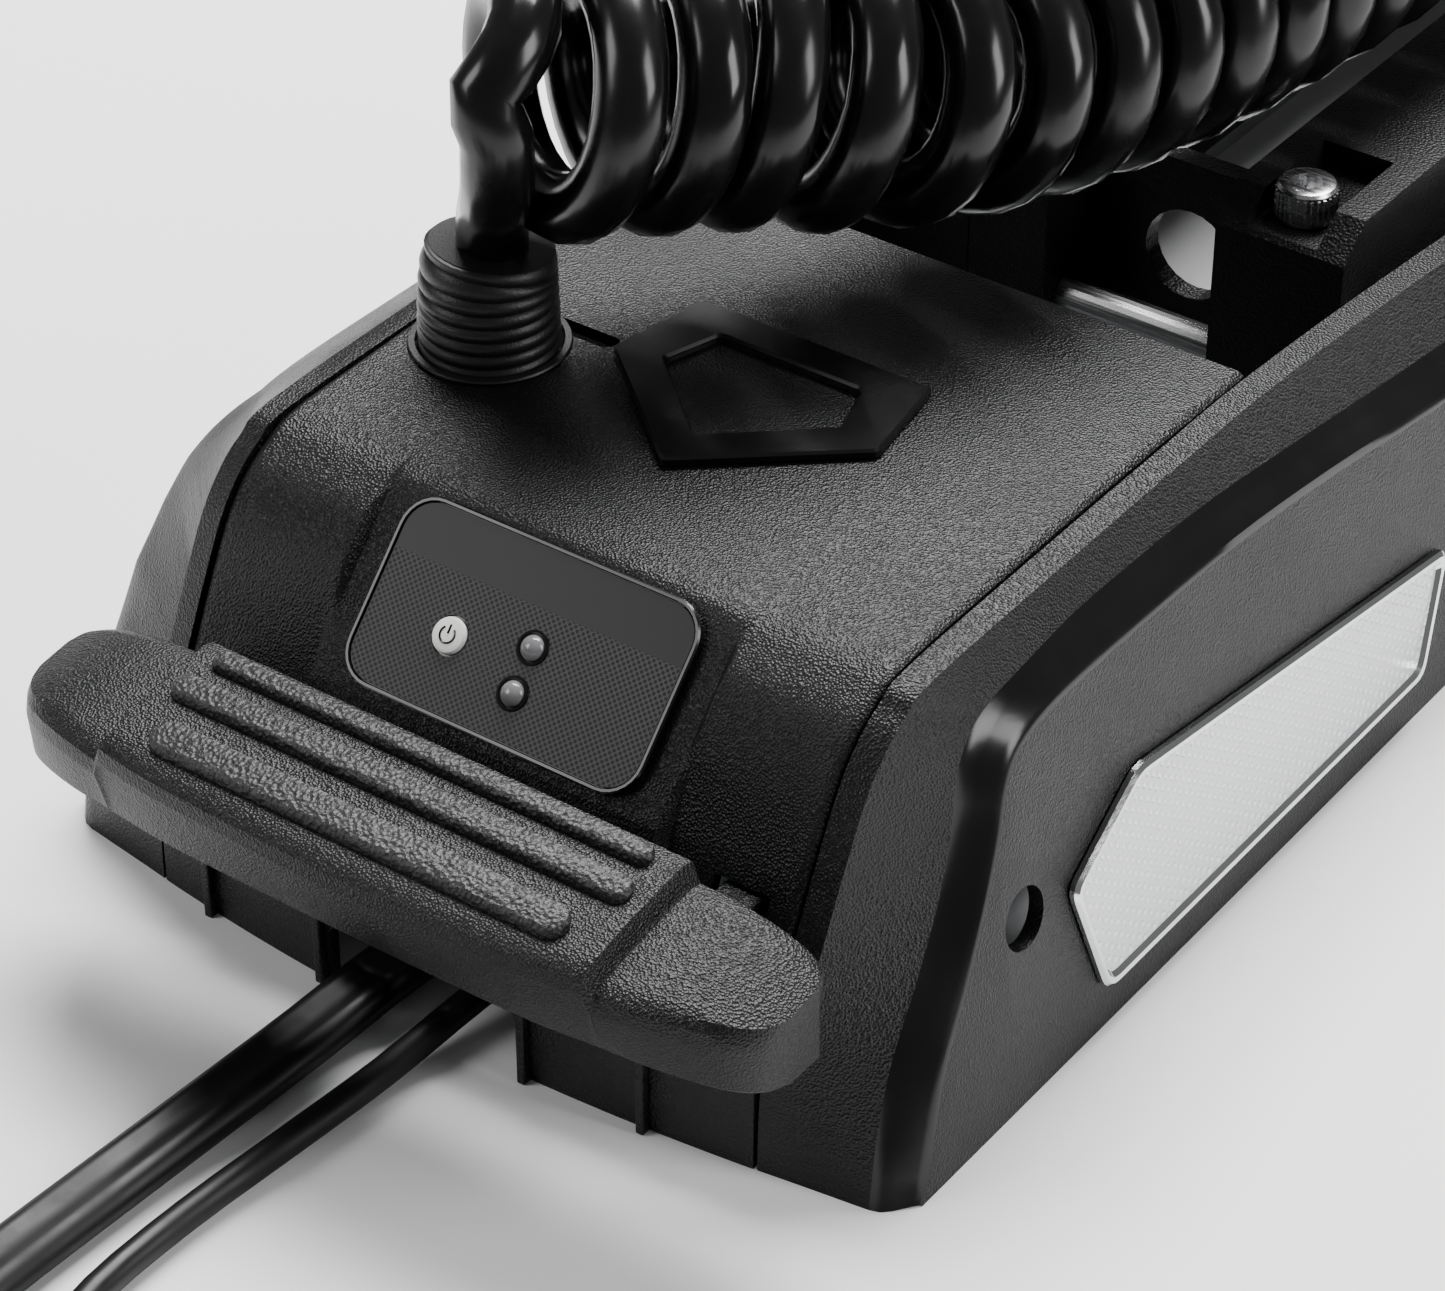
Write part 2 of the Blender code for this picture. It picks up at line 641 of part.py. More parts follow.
def tilt_pin(b):
    b.put("tilt_pin", cylinder((-0.0612, TILT_Y, TILT_Z), (0.0612, TILT_Y, TILT_Z), 0.0060, 20), "steel")


# The stow pedal

# Half of the pedal's plan: (x, back edge at the top, front edge at the top, front edge at the foot)
PEDAL_HALF = [
    (0.0000, -0.0010, -0.0362, -0.0327),
    (0.0380, -0.0010, -0.0352, -0.0323),
    (0.0550, -0.0010, -0.0335, -0.0308),
    (0.0575, -0.0010, -0.0328, -0.0305),
    (0.0650, -0.0011, -0.0315, -0.0298),
    (0.0730, -0.0012, -0.0292, -0.0278),
    (0.0800, -0.0016, -0.0258, -0.0248),
    (0.0842, -0.0030, -0.0215, -0.0208),
    (0.0860, -0.0070, -0.0165, -0.0162),
]
PEDAL_BACK_FOOT = -0.0065  # slopes in, so that the pressed pedal clears the cover
# Middle, half length and half width of each grip strip
GRIPS = {
    "rear": (-0.0060, 0.050, 0.0022),
    "middle": (-0.0150, 0.052, 0.0028),
    "front": (-0.0265, 0.047, 0.0034),
}


def droop(x):
    """How far a wing of the pedal has sunk, out towards its tip."""
    return max(0.0, abs(x) - 0.060) ** 2


def pedal_top(x, y):
    """The height of the pedal's top: a raised middle between two wings."""
    back = 0.0630 if abs(x) < 0.056 else 0.0588 - 8.0 * droop(x)
    return back - 0.05 * abs(y) - 3.2 * y * y


def stow_pedal(b):
    rings = []
    stations = [(-x, *rest) for x, *rest in reversed(PEDAL_HALF[1:])] + PEDAL_HALF
    for x, rear, front, foot in stations:
        bottom = PEDAL_BOTTOM - 4.5 * droop(x)
        top = [rear + (front - rear) * share for share in (0.0, 0.35, 0.7, 0.93)]
        ring = [(x, PEDAL_BACK_FOOT, bottom)]
        ring += [(x, y, pedal_top(x, y)) for y in top]
        ring.append((x, front, pedal_top(x, front) - 0.0035))
        ring.append((x, foot, bottom))
        rings.append(ring)
    pedal = b.put("stow_pedal", loft(rings), "black_plastic", "pedal")
    for side in (-1, 1):
        ends = sorted((side * (PEDAL_ARM_X - 0.004), side * (PEDAL_ARM_X + 0.004)))
        b.shape(pedal, box((ends[0], -0.012, 0.0435), (ends[1], PEDAL_Y, 0.0500)), "UNION")
        b.shape(
            pedal,
            cylinder((ends[0] + 0.00005, PEDAL_Y, PEDAL_Z), (ends[1] - 0.00005, PEDAL_Y, PEDAL_Z), 0.0085, 20),
            "UNION",
        )
    b.shape(pedal, cylinder((-0.08, PEDAL_Y, PEDAL_Z), (0.08, PEDAL_Y, PEDAL_Z), 0.0044, 16))


def pedal_grips(b):
    for name, (y, half, width) in GRIPS.items():
        rings = []
        for up in (GAP, 0.0016):
            ring = []
            for x, dy in rounded(half, width, width * 0.98, steps=4):
                at = y + dy
                ring.append((x, at, pedal_top(0.0, at) + 0.0004 + up))
            rings.append(ring)
        b.put(f"pedal_grip_{name}", loft(rings), "rubber", "pedal")


def pedal_rod(b):
    rod = cylinder((-0.0655, PEDAL_Y, PEDAL_Z), (0.0655, PEDAL_Y, PEDAL_Z), 0.0040, 16)
    item = b.put("pedal_rod", rod, "steel")
    for side in (-1, 1):
        ends = sorted((side * 0.0440, side * 0.0500))
        b.shape(
            item,
            box((ends[0], PEDAL_Y - 0.006, TRAY_THICKNESS + GAP), (ends[1], PEDAL_Y + 0.006, PEDAL_Z + 0.006)),
            "UNION",
        )


def pedal_spring(b):
    """The torsion spring wound round the pedal's rod."""
    turns, steps = 4, 12
    route = []
    for i in range(turns * steps + 1):
        turn = 2 * math.pi * i / steps
        x = 0.020 + 0.010 * i / (turns * steps)
        route.append((x, PEDAL_Y + 0.0062 * math.cos(turn), PEDAL_Z + 0.0062 * math.sin(turn)))
    b.tube("pedal_spring", route, 0.0008, "steel", resolution=1)


# Curly cord

def strain_relief_boot(b):
    route = smooth(BOOT_ROUTE, 3)
    thick = [1.0 - 0.16 * i / (len(route) - 1) for i in range(len(route))]
    b.tube("strain_relief_boot", route, BOOT_RADIUS, "rubber", resolution=4, thick=thick)


def coil_lead(b):
    b.tube("coil_lead", smooth(COIL_ROUTE, 2), COIL_RADIUS, "cable_black", resolution=4)


def coil_wrap(b):
    inner, outer = WRAP_RADIUS
    low, high = WRAP_Z
    b.turned(
        "coil_wrap", [(outer, high), (outer, low), (inner, low), (inner, high)], "cable_black",
        "mast", (0.0, MAST_Y, 0.0), ring=True,
    )


# Steering housing

def housing_outline(inset=0.0):
    """Plan of the housing: a wide round back about the mast and a narrower front."""
    back = arc((0.0, MAST_Y), 0.039 - inset, 180, 360, 10)
    front = arc((0.0, 0.6834), 0.026 - inset, 0, 180, 8)
    return back + front


def steering_housing(b):
    body = prism(housing_outline(), HOUSING_FOOT, 0.1750, "Z")
    housing = b.put("steering_housing", body, "black_plastic", "tilt")
    cavity = prism(housing_outline(HOUSING_WALL), HOUSING_FOOT + 0.020, 0.2, "Z")
    b.shape(housing, cavity)
    b.shape(housing, cylinder((0, MAST_Y, -0.1), (0, MAST_Y, 0.0), 0.0268, 32))
    ear = arc((TILT_Y, TILT_Z), 0.0150, 90, 270, 8) + [(0.613, 0.020), (0.613, 0.130)]
    for side in (-1, 1):
        ends = sorted((side * 0.0140, side * 0.0260))
        b.shape(housing, prism(ear, *ends), "UNION")
    b.shape(housing, cylinder((-0.05, TILT_Y, TILT_Z), (0.05, TILT_Y, TILT_Z), 0.0064, 20))


def housing_cap(b):
    lid = prism(housing_outline(), 0.1750 + GAP, HOUSING_TOP, "Z")
    cap = b.put("housing_cap", lid, "black_plastic", "tilt")
    b.shape(cap, cylinder((0, MAST_Y, 0.1), (0, MAST_Y, 0.3), 0.0268, 32))


def bushes(b):
    for name, low, high in (("lower_bush", -0.0590, -0.0410), ("upper_bush", 0.1760, 0.1895)):
        profile = [(0.0264, high), (0.0264, low), (0.0224, low), (0.0224, high)]
        b.turned(name, profile, "bronze", "tilt", (0.0, MAST_Y, 0.0), ring=True)


def steering_sleeve(b):
    outer, inner = SLEEVE_RADIUS, MAST_RADIUS + 0.0005
    profile = [(outer, 0.1940), (outer, -0.0640), (inner, -0.0640), (inner, 0.1940)]
    b.turned("steering_sleeve", profile, "aluminium", "steer", (0.0, MAST_Y, 0.0), ring=True)


def steering_gear(b):
    outline = [(x, y + MAST_Y) for x, y in gear_outline(GEAR_TEETH, GEAR_PITCH_RADIUS)]
    gear = b.put("steering_gear", prism(outline, *GEAR_Z, "Z"), "bronze", "steer")
    b.shape(gear, cylinder((0, MAST_Y, 0.0), (0, MAST_Y, 0.2), SLEEVE_RADIUS + GAP, 32))


PINION_PITCH_RADIUS = GEAR_PITCH_RADIUS * PINION_TEETH / GEAR_TEETH
PINION_Y = MAST_Y + GEAR_PITCH_RADIUS + PINION_PITCH_RADIUS


def steering_pinion(b):
    """The pinion faces a gap of the gear with one of its teeth, half a tooth turned."""
    turn = Matrix.Rotation(GEAR_MESH_TURN, 3, "Z")
    outline = []
    for x, y in gear_outline(PINION_TEETH, PINION_PITCH_RADIUS):
        at = turn @ Vector((x, y, 0.0))
        outline.append((at.x, at.y + PINION_Y))
    low, high = GEAR_Z
    pinion = b.put("steering_pinion", prism(outline, low + 0.001, high - 0.001, "Z"), "steel", "pinion")
    shaft = cylinder((0, PINION_Y, low - 0.006), (0, PINION_Y, 0.0985), 0.0030, 12)
    b.shape(pinion, shaft, "UNION")


# The gear has a tooth at +X, so the tooth nearest to +Y is this far from it
GEAR_PHASE = (90.0 * GEAR_TEETH / 360.0) % 1.0
# The pinion meets it at -Y, with a gap where the gear has its tooth
GEAR_MESH_TURN = math.radians(-90.0) + 2 * math.pi * (0.5 + GEAR_PHASE) / PINION_TEETH


def steering_motor(b):
    can = cylinder((0, PINION_Y, 0.0990), (0, PINION_Y, 0.1700), 0.0150, 24)
    motor = b.put("steering_motor", can, "steel", "tilt")
    b.bevel(motor, 0.0015)


# Mast and control head

def mast_tube(b):
    profile = [
        (MAST_RADIUS, MAST_TOP), (MAST_RADIUS, MAST_FOOT),
        (MAST_BORE, MAST_FOOT), (MAST_BORE, MAST_TOP),
    ]
    b.turned("mast_tube", profile, "composite", "mast", (0.0, MAST_Y, 0.0), ring=True)


def depth_collar(b):
    low, high = 0.1944, 0.2240
    outer, inner = 0.0240, MAST_RADIUS + GAP
    profile = [(outer - 0.002, high), (outer, high - 0.002), (outer, low), (inner, low), (inner, high)]
    b.turned("depth_collar", profile, "black_plastic", "mast", (0.0, MAST_Y, 0.0), ring=True)


def head_outline(half_x, half_y):
    return [(x, y + MAST_Y) for x, y in rounded(half_x, half_y, half_x * 0.8, steps=5)]


def ring_at(outline, z):
    return [(x, y, z) for x, y in outline]


def control_head(b):
    base_rings = [
        ring_at(head_outline(0.026, 0.040), HEAD_FOOT),
        ring_at(head_outline(0.040, 0.062), HEAD_FOOT + 0.010),
        ring_at(head_outline(0.046, 0.072), HEAD_SPLIT),
    ]
    base = b.put("control_head_base", loft(base_rings), "black_plastic", "mast")
    b.shape(base, cylinder((0, MAST_Y, 0.30), (0, MAST_Y, MAST_TOP + GAP), MAST_RADIUS + GAP, 32))
    b.shape(base, prism(head_outline(0.034, 0.058), 0.350, 0.40, "Z"))
    low = HEAD_SPLIT + GAP
    top_rings = [
        ring_at(head_outline(0.046, 0.072), low),
        ring_at(head_outline(0.046, 0.072), low + 0.020),
        ring_at(head_outline(0.041, 0.066), HEAD_TOP - 0.016),
        ring_at(head_outline(0.030, 0.052), HEAD_TOP - 0.005),
    ]
    cover = b.put("control_head_cover", loft(top_rings), "black_plastic", "mast")
    b.shape(cover, prism(head_outline(0.036, 0.060), 0.30, HEAD_TOP - 0.020, "Z"))


def heading_indicator(b):
    """The arrow on the head that shows which way the motor points."""
    low = HEAD_TOP - 0.005 + GAP
    right = [(0.016, 0.004), (0.006, 0.007), (0.006, -0.026)]
    arrow = [(0.0, 0.032), *right, *[(-x, y) for x, y in reversed(right)]]
    outline = [(x, y + MAST_Y) for x, y in arrow]
    b.put("heading_indicator", prism(outline, low, HEAD_TOP, "Z"), "white_plastic", "mast")


# Lower unit. Lengths along the motor are from the mast's axis, positive to the nose.

def along(y):
    return MAST_Y + y


def motor_tube(b):
    outer, inner = MOTOR_RADIUS, MOTOR_RADIUS - 0.004
    profile = [(outer, 0.080), (outer, -0.095), (inner, -0.095), (inner, 0.080)]
    middle = (0.0, MAST_Y, MOTOR_Z)
    tube = b.turned("motor_tube", profile, "painted_black", "mast", middle, "Y", 40, ring=True)
    b.shape(tube, cylinder((0, MAST_Y, MOTOR_Z + 0.0435), (0, MAST_Y, -0.9050), 0.0200, 24), "UNION")
    b.shape(tube, cylinder((0, MAST_Y, MAST_FOOT - GAP), (0, MAST_Y, -0.9), MAST_RADIUS + GAP, 32))


def nose_cone(b):
    """Solid, with a seat for the shaft's front end."""
    back, length = 0.080 + GAP, 0.110
    turns = [math.radians(angle) for angle in range(80, -1, -10)]
    dome = [(MOTOR_RADIUS * math.cos(t), back + length * math.sin(t)) for t in turns]
    profile = [(0.0, back + length), *dome, (0.0056, back), (0.0056, 0.1000), (0.0, 0.1000)]
    b.turned("nose_cone", profile, "painted_black", "mast", (0.0, MAST_Y, MOTOR_Z), "Y", 40)


def end_bell(b):
    back = -0.095 - GAP
    profile = [
        (0.0056, back), (0.046, back), (0.045, back - 0.012), (0.030, back - 0.028), (0.0056, back - 0.028),
    ]
    b.turned("end_bell", profile, "painted_black", "mast", (0.0, MAST_Y, MOTOR_Z), "Y", 40, ring=True)


def skeg(b):
    top = MOTOR_Z - MOTOR_RADIUS - GAP
    fin_side = [(0.055, 0.0), (-0.080, 0.0), (-0.098, 0.070), (-0.060, 0.078), (0.0, 0.050)]
    outline = [(along(y), top - down) for y, down in fin_side]
    fin = b.put("skeg", prism(outline, -0.003, 0.003), "painted_black", "mast")
    b.bevel(fin, 0.0012, 1)


def field_ring(b):
    outer, inner = MOTOR_RADIUS - 0.004 - GAP, 0.0325
    profile = [(outer, 0.050), (outer, -0.050), (inner, -0.050), (inner, 0.050)]
    b.turned("field_ring", profile, "ferrite", "mast", (0.0, MAST_Y, MOTOR_Z), "Y", 32, ring=True)


def armature(b):
    """Laminated core with its commutator, on the shaft."""
    bore = SHAFT_RADIUS + GAP
    profile = [
        (0.014, 0.070), (0.014, 0.046), (0.0315, 0.046), (0.0315, -0.046), (bore, -0.046), (bore, 0.070),
    ]
    b.turned("armature", profile, "copper", "propeller", (0.0, MAST_Y, MOTOR_Z), "Y", 28, ring=True)


def prop_shaft(b):
    shaft = cylinder((0, along(0.098), MOTOR_Z), (0, along(-0.1960), MOTOR_Z), SHAFT_RADIUS, 20)
    item = b.put("prop_shaft", shaft, "steel", "propeller")
    b.shape(item, cylinder((-0.02, along(-0.134), MOTOR_Z), (0.02, along(-0.134), MOTOR_Z), 0.0024, 12))


def drive_pin(b):
    pin = cylinder((-0.013, along(-0.134), MOTOR_Z), (0.013, along(-0.134), MOTOR_Z), 0.0020, 12)
    b.put("drive_pin", pin, "steel", "propeller")


def blade(turn):
    """One wide blade: sections across it, swept back and less steep towards the tip."""
    rings = []
    for share in (0.08, 0.25, 0.45, 0.65, 0.85, 1.0):
        radius = PROP_RADIUS * share
        chord = 0.034 + 0.036 * math.sin(math.pi * min(1.0, 0.15 + share * 0.8))
        half = chord / 2 * (1.0 if share < 0.9 else 0.55)
        thick = 0.0035 - 0.0022 * share
        pitch = math.radians(62 - 38 * share)
        sweep = 0.020 * share * share
        ring = []
        for c, t in ((-1, 0), (-0.5, 1), (0.5, 1), (1, 0), (0.5, -1), (-0.5, -1)):
            u, v = c * half + sweep, t * thick
            x = u * math.cos(pitch) - v * math.sin(pitch)
            y = u * math.sin(pitch) + v * math.cos(pitch)
            ring.append(Vector((x, y - 0.157, radius)))
        rings.append(ring)
    around = Matrix.Rotation(turn, 3, "Y")
    place = Vector((0.0, MAST_Y, MOTOR_Z))
    return loft([[around @ p + place for p in ring] for ring in rings])


def propeller(b):
    profile = [(0.022, -0.130), (0.0235, -0.150), (0.0215, -0.184), (0.0056, -0.184), (0.0056, -0.130)]
    hub = b.turned("propeller", profile, "composite", "propeller", (0.0, MAST_Y, MOTOR_Z), "Y", 28, ring=True)
    for turn in (0.0, math.pi):
        b.shape(hub, blade(turn), "UNION")
    b.shape(hub, cylinder((0, along(-0.1295), MOTOR_Z), (0, along(-0.1845), MOTOR_Z), 0.0056, 20))
    b.shape(hub, box((-0.0145, along(-0.1365), MOTOR_Z - 0.0026), (0.0145, along(-0.12), MOTOR_Z + 0.0026)))


def prop_nut(b):
    profile = [
        (0.0, -0.1965), (0.0056, -0.1965), (0.0056, -0.1845), (0.0110, -0.1845),
        (0.0110, -0.1880), (0.0085, -0.1990), (0.0050, -0.2010), (0.0, -0.2010),
    ]
    b.turned("prop_nut", profile, "steel", "propeller", (0.0, MAST_Y, MOTOR_Z), "Y", 24)


# Free leads

def flat_sweep(route, half_width, half_height):
    """A flat twin lead along a route that lies nearly level."""
    rings = []
    for i, at in enumerate(route):
        ahead = (route[min(i + 1, len(route) - 1)] - route[max(i - 1, 0)]).normalized()
        across = Vector((ahead.y, -ahead.x, 0.0)).normalized()
        up = across.cross(ahead)
        outline = ((1.0, 0.0), (0.75, 0.9), (0.25, 0.9), (-0.25, 0.9), (-0.75, 0.9), (-1.0, 0.0),
                   (-0.75, -0.9), (-0.25, -0.9), (0.25, -0.9), (0.75, -0.9))
        rings.append([at + across * (half_width * u) + up * (half_height * v) for u, v in outline])
    return loft(rings)


def lead_coil(b, name, coil):
    """The closed outer shape of the turns that are put away."""
    x, y = coil["centre"]
    outer, inner = coil["radius"] + coil["half"], coil["radius"] - coil["half"]
    low, high = GAP, coil["height"]
    profile = [(outer, high), (outer, low), (inner, low), (inner, high)]
    b.turned(name, profile, "cable_black", "mount", (x, y, 0.0), ring=True)


def lead_plug(b, name, coil, plug):
    """A plug lying on the deck inside its coil, along Y."""
    x, y = coil["centre"][0] + plug["off"], coil["centre"][1]
    z = plug["radius"] + GAP
    bar = cylinder((x, y - plug["half"], z), (x, y + plug["half"], z), plug["radius"], 24)
    item = b.put(name, bar, "black_plastic")
    b.bevel(item, 0.0012)


def leads(b):
    b.put("power_cable", flat_sweep(smooth(POWER_ROUTE, 2), 2 * CABLE_RADIUS, CABLE_RADIUS), "cable_black")
    b.tube("network_cable", smooth(NETWORK_ROUTE, 2), NETWORK_RADIUS, "cable_black")
    lead_coil(b, "power_coil", POWER_COIL)
    lead_coil(b, "network_coil", NETWORK_COIL)
    lead_plug(b, "power_plug", POWER_COIL, POWER_PLUG)
    lead_plug(b, "network_plug", NETWORK_COIL, NETWORK_PLUG)


def main():
    b = Builder()
    b.add_anchor("pedal", "mount", (0.0, PEDAL_Y, PEDAL_Z))
    b.add_anchor("button", "mount", on_panel(*BUTTON_AT, 0.0))
    b.add_anchor("tilt", "mount", (0.0, TILT_Y, TILT_Z))
    b.add_anchor("pinion", "tilt", (0.0, PINION_Y, GEAR_Z[0]))
    b.add_anchor("steer", "tilt", (0.0, MAST_Y, GEAR_Z[0]))
    b.add_anchor("mast", "steer", (0.0, MAST_Y, 0.0))
    b.add_anchor("propeller", "mast", (0.0, MAST_Y, MOTOR_Z))
    base_tray(b)
    for side, name in ((1, "right"), (-1, "left")):
        side_plate(b, side, f"side_plate_{name}")
        badge(b, side, f"badge_{name}")
        bow_bracket(b, side, f"bow_bracket_{name}")
        bracket_screw(b, side, f"bracket_screw_{name}")
    centre_cover(b)
    cover_emblem(b)
    control_panel(b)
    power_button(b)
    control_board(b)
    rear_fascia(b)
    cable_clamp(b)
    cross_plate(b)
    latch_pin(b)
    tilt_pin(b)
    stow_pedal(b)
    pedal_grips(b)
    pedal_rod(b)
    pedal_spring(b)
    strain_relief_boot(b)
    coil_lead(b)
    coil_wrap(b)
    steering_housing(b)
    housing_cap(b)
    bushes(b)
    steering_sleeve(b)
    steering_gear(b)
    steering_pinion(b)
    steering_motor(b)
    mast_tube(b)
    depth_collar(b)
    control_head(b)
    heading_indicator(b)
    motor_tube(b)
    nose_cone(b)
    end_bell(b)
    skeg(b)
    field_ring(b)
    armature(b)
    prop_shaft(b)
    drive_pin(b)
    propeller(b)
    prop_nut(b)
    leads(b)


main()
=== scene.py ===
"""Looks for a bow-mounted electric trolling motor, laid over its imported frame.

Lengths are metres. Shapes are written in the mount's own frame, whose Y starts at the mount's
rear edge, and REAR moves them into the row frame. The lights and the camera are placed in the
row frame.
"""

import json
import math

import bmesh
import bpy
from mathutils import Matrix, Vector


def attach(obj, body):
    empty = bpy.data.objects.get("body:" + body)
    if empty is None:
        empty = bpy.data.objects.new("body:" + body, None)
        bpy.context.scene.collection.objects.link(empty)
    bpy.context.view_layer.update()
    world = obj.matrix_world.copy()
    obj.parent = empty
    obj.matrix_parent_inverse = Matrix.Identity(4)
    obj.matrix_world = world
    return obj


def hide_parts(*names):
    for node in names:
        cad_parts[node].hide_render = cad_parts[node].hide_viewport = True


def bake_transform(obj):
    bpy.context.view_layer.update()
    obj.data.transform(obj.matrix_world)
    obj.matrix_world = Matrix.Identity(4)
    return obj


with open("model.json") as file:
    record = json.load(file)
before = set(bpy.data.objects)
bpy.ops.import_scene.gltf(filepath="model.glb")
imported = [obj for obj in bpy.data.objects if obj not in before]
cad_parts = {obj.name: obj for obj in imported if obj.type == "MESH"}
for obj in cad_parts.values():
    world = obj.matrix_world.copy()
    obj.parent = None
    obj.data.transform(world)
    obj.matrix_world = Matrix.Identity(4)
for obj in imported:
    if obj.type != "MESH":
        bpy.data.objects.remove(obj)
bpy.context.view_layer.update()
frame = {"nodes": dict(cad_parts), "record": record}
NODES = frame["nodes"]

# Driving dimensions, the same as the model's
REAR = -0.300
DECK_HALF_WIDTH = 0.100
SIDE_DRAFT = {1: 0.162, -1: 0.101}
COVER_HALF_WIDTH = 0.0702
POD_HALF_WIDTH = 0.0405
PLATE_INNER_X = 0.0708
PLATE_CREASE_X = 0.0760
CREASE_BACK = 0.0008
CHAMFER_INNER_X = 0.0950
WALL = 0.003
MAST_Y = 0.645
PEDAL_Y = 0.085
PEDAL_Z = 0.048
PEDAL_ARM_X = 0.058
PEDAL_BOTTOM = 0.040
PEDAL_BACK_FOOT = -0.0065
SCREW_AT = (0.044, 0.226)
ACCESS_HOLE = (0.0460, 0.0366)
ACCESS_HOLE_RADIUS = 0.0062
PANEL_FOOT = Vector((0.0, 0.008, 0.0585))
PANEL_HEAD = Vector((0.0, 0.034, 0.0860))
PANEL_UP = (PANEL_HEAD - PANEL_FOOT).normalized()
PANEL_OUT = Vector((0.0, -PANEL_UP.z, PANEL_UP.y))
PANEL_LENGTH = (PANEL_HEAD - PANEL_FOOT).length
PANEL_HALF_WIDTH = 0.034
BUTTON_AT = (-0.0141, 0.0150)
LENSES_AT = {"upper": (0.0030, 0.0190), "lower": (0.0030, 0.0100)}

# Details of the looks. RAIL_STEPS is how many points the plates' rails get for each span
PANEL_CORNER = 0.0075
PANEL_MESH_TOP = 0.0262
FASCIA_MIDDLE_Y = -0.0086
FASCIA_BOW = 0.0048
FASCIA_TOP = 0.0245
SCREW_HEAD_RADIUS = 0.0063
SCREW_SOCKET_RADIUS = 0.0034
SCREW_KNURLS = 28
RAIL_STEPS = 4

# Side views, (y, z), from the rear foot to the bow
COVER_SIDE = [
    (-0.0028, 0.0260), (0.0025, 0.0370), (0.0085, 0.0485), (0.0100, 0.0515),
    (0.0130, 0.0580), (0.0200, 0.0714), (0.0260, 0.0786), (0.0320, 0.0826),
    (0.0400, 0.0857), (0.0570, 0.0865), (0.1030, 0.0870), (0.1570, 0.0860),
]
POD_SIDE = [
    (-0.0028, 0.0260), (0.0015, 0.0370), (0.0050, 0.0480), (0.0076, 0.0550),
    (0.0092, 0.0572), (0.0202, 0.0689), (0.0262, 0.0753), (0.0346, 0.0842),
    (0.0400, 0.0863), (0.0570, 0.0867), (0.1030, 0.0870), (0.1570, 0.0860),
]
RAIL_INNER = [
    (-0.0035, 0.0), (-0.0032, 0.0120), (-0.0018, 0.0255), (0.0028, 0.0375), (0.0085, 0.0485),
    (0.0130, 0.0580), (0.0200, 0.0714), (0.0260, 0.0786), (0.0320, 0.0826), (0.0410, 0.0856),
    (0.0860, 0.0862), (0.1210, 0.0862), (0.1570, 0.0857), (0.2140, 0.0810), (0.3000, 0.0715),
    (0.4000, 0.0605), (0.5000, 0.0505), (0.5700, 0.0435), (0.5900, 0.0330), (0.5960, 0.0),
]
RAIL_CHAMFER = [
    (0.0, 0.0), (0.0048, 0.0110), (0.0120, 0.0240), (0.0215, 0.0350), (0.0310, 0.0473),
    (0.0370, 0.0584), (0.0403, 0.0672), (0.0441, 0.0723), (0.0500, 0.0756), (0.0600, 0.0773),
    (0.0860, 0.0777), (0.1210, 0.0766), (0.1570, 0.0730), (0.2140, 0.0664), (0.3000, 0.0580),
    (0.4000, 0.0490), (0.5000, 0.0410), (0.5720, 0.0350), (0.5920, 0.0260), (0.5980, 0.0),
]
RAIL_OUTER = [
    (0.0060, 0.0), (0.0113, 0.0110), (0.0180, 0.0240), (0.0265, 0.0350), (0.0351, 0.0473),
    (0.0415, 0.0580), (0.0449, 0.0655), (0.0493, 0.0708), (0.0576, 0.0733), (0.0700, 0.0742),
    (0.0900, 0.0742), (0.1250, 0.0732), (0.1600, 0.0698), (0.2140, 0.0626), (0.3000, 0.0540),
    (0.4000, 0.0450), (0.5000, 0.0370), (0.5740, 0.0310), (0.5940, 0.0220), (0.6000, 0.0),
]
# The left plate flares at its rear corner: how far out and back, station by station from the foot
LEFT_FLARE = [
    (0.0, 0.0), (0.0011, 0.0030), (0.0024, 0.0060), (0.0035, 0.0080), (0.0048, 0.0090),
    (0.0045, 0.0075), (0.0035, 0.0050), (0.0017, 0.0020),
]
BADGE = [(0.0666, 0.0085), (0.1867, 0.0092), (0.1995, 0.0324), (0.0837, 0.0473), (0.0591, 0.0347)]
# Half of the pedal's plan: (x, back edge at the top, front edge at the top, front edge at the foot)
PEDAL_HALF = [
    (0.0000, -0.0010, -0.0362, -0.0327), (0.0380, -0.0010, -0.0352, -0.0323),
    (0.0550, -0.0010, -0.0335, -0.0308), (0.0575, -0.0010, -0.0328, -0.0305),
    (0.0650, -0.0011, -0.0315, -0.0298), (0.0730, -0.0012, -0.0292, -0.0278),
    (0.0800, -0.0016, -0.0258, -0.0248), (0.0842, -0.0030, -0.0215, -0.0208),
    (0.0860, -0.0070, -0.0165, -0.0162),
]
# Middle, half length and half width of each grip strip
GRIPS = {
    "rear": (-0.0060, 0.050, 0.0022),
    "middle": (-0.0150, 0.052, 0.0028),
    "front": (-0.0265, 0.047, 0.0034),
}

# Cords
BOOT_RADIUS = 0.0145
BOOT_RIB_PITCH = 0.0028
BOOT_RIB_DEPTH = 0.0008
BOOT_ROUTE = [(-0.0530, 0.0800, 0.0720), (-0.0530, 0.0800, 0.1000), (-0.0525, 0.0810, 0.1085)]
COIL_ROUTE = [
    (-0.0508, 0.0792, 0.142), (-0.0451, 0.0851, 0.141), (-0.0272, 0.1151, 0.136),
    (-0.0068, 0.1435, 0.130), (0.0061, 0.1824, 0.124), (0.0140, 0.2400, 0.119),
    (0.0200, 0.3200, 0.120), (0.0180, 0.4000, 0.132), (0.0100, 0.4800, 0.158),
    (0.0040, 0.5450, 0.190), (0.0000, 0.5880, 0.222),
]
COIL_STRAND = 0.0070
COIL_TURN_RADIUS = 0.0215
COIL_PITCH = 0.0172
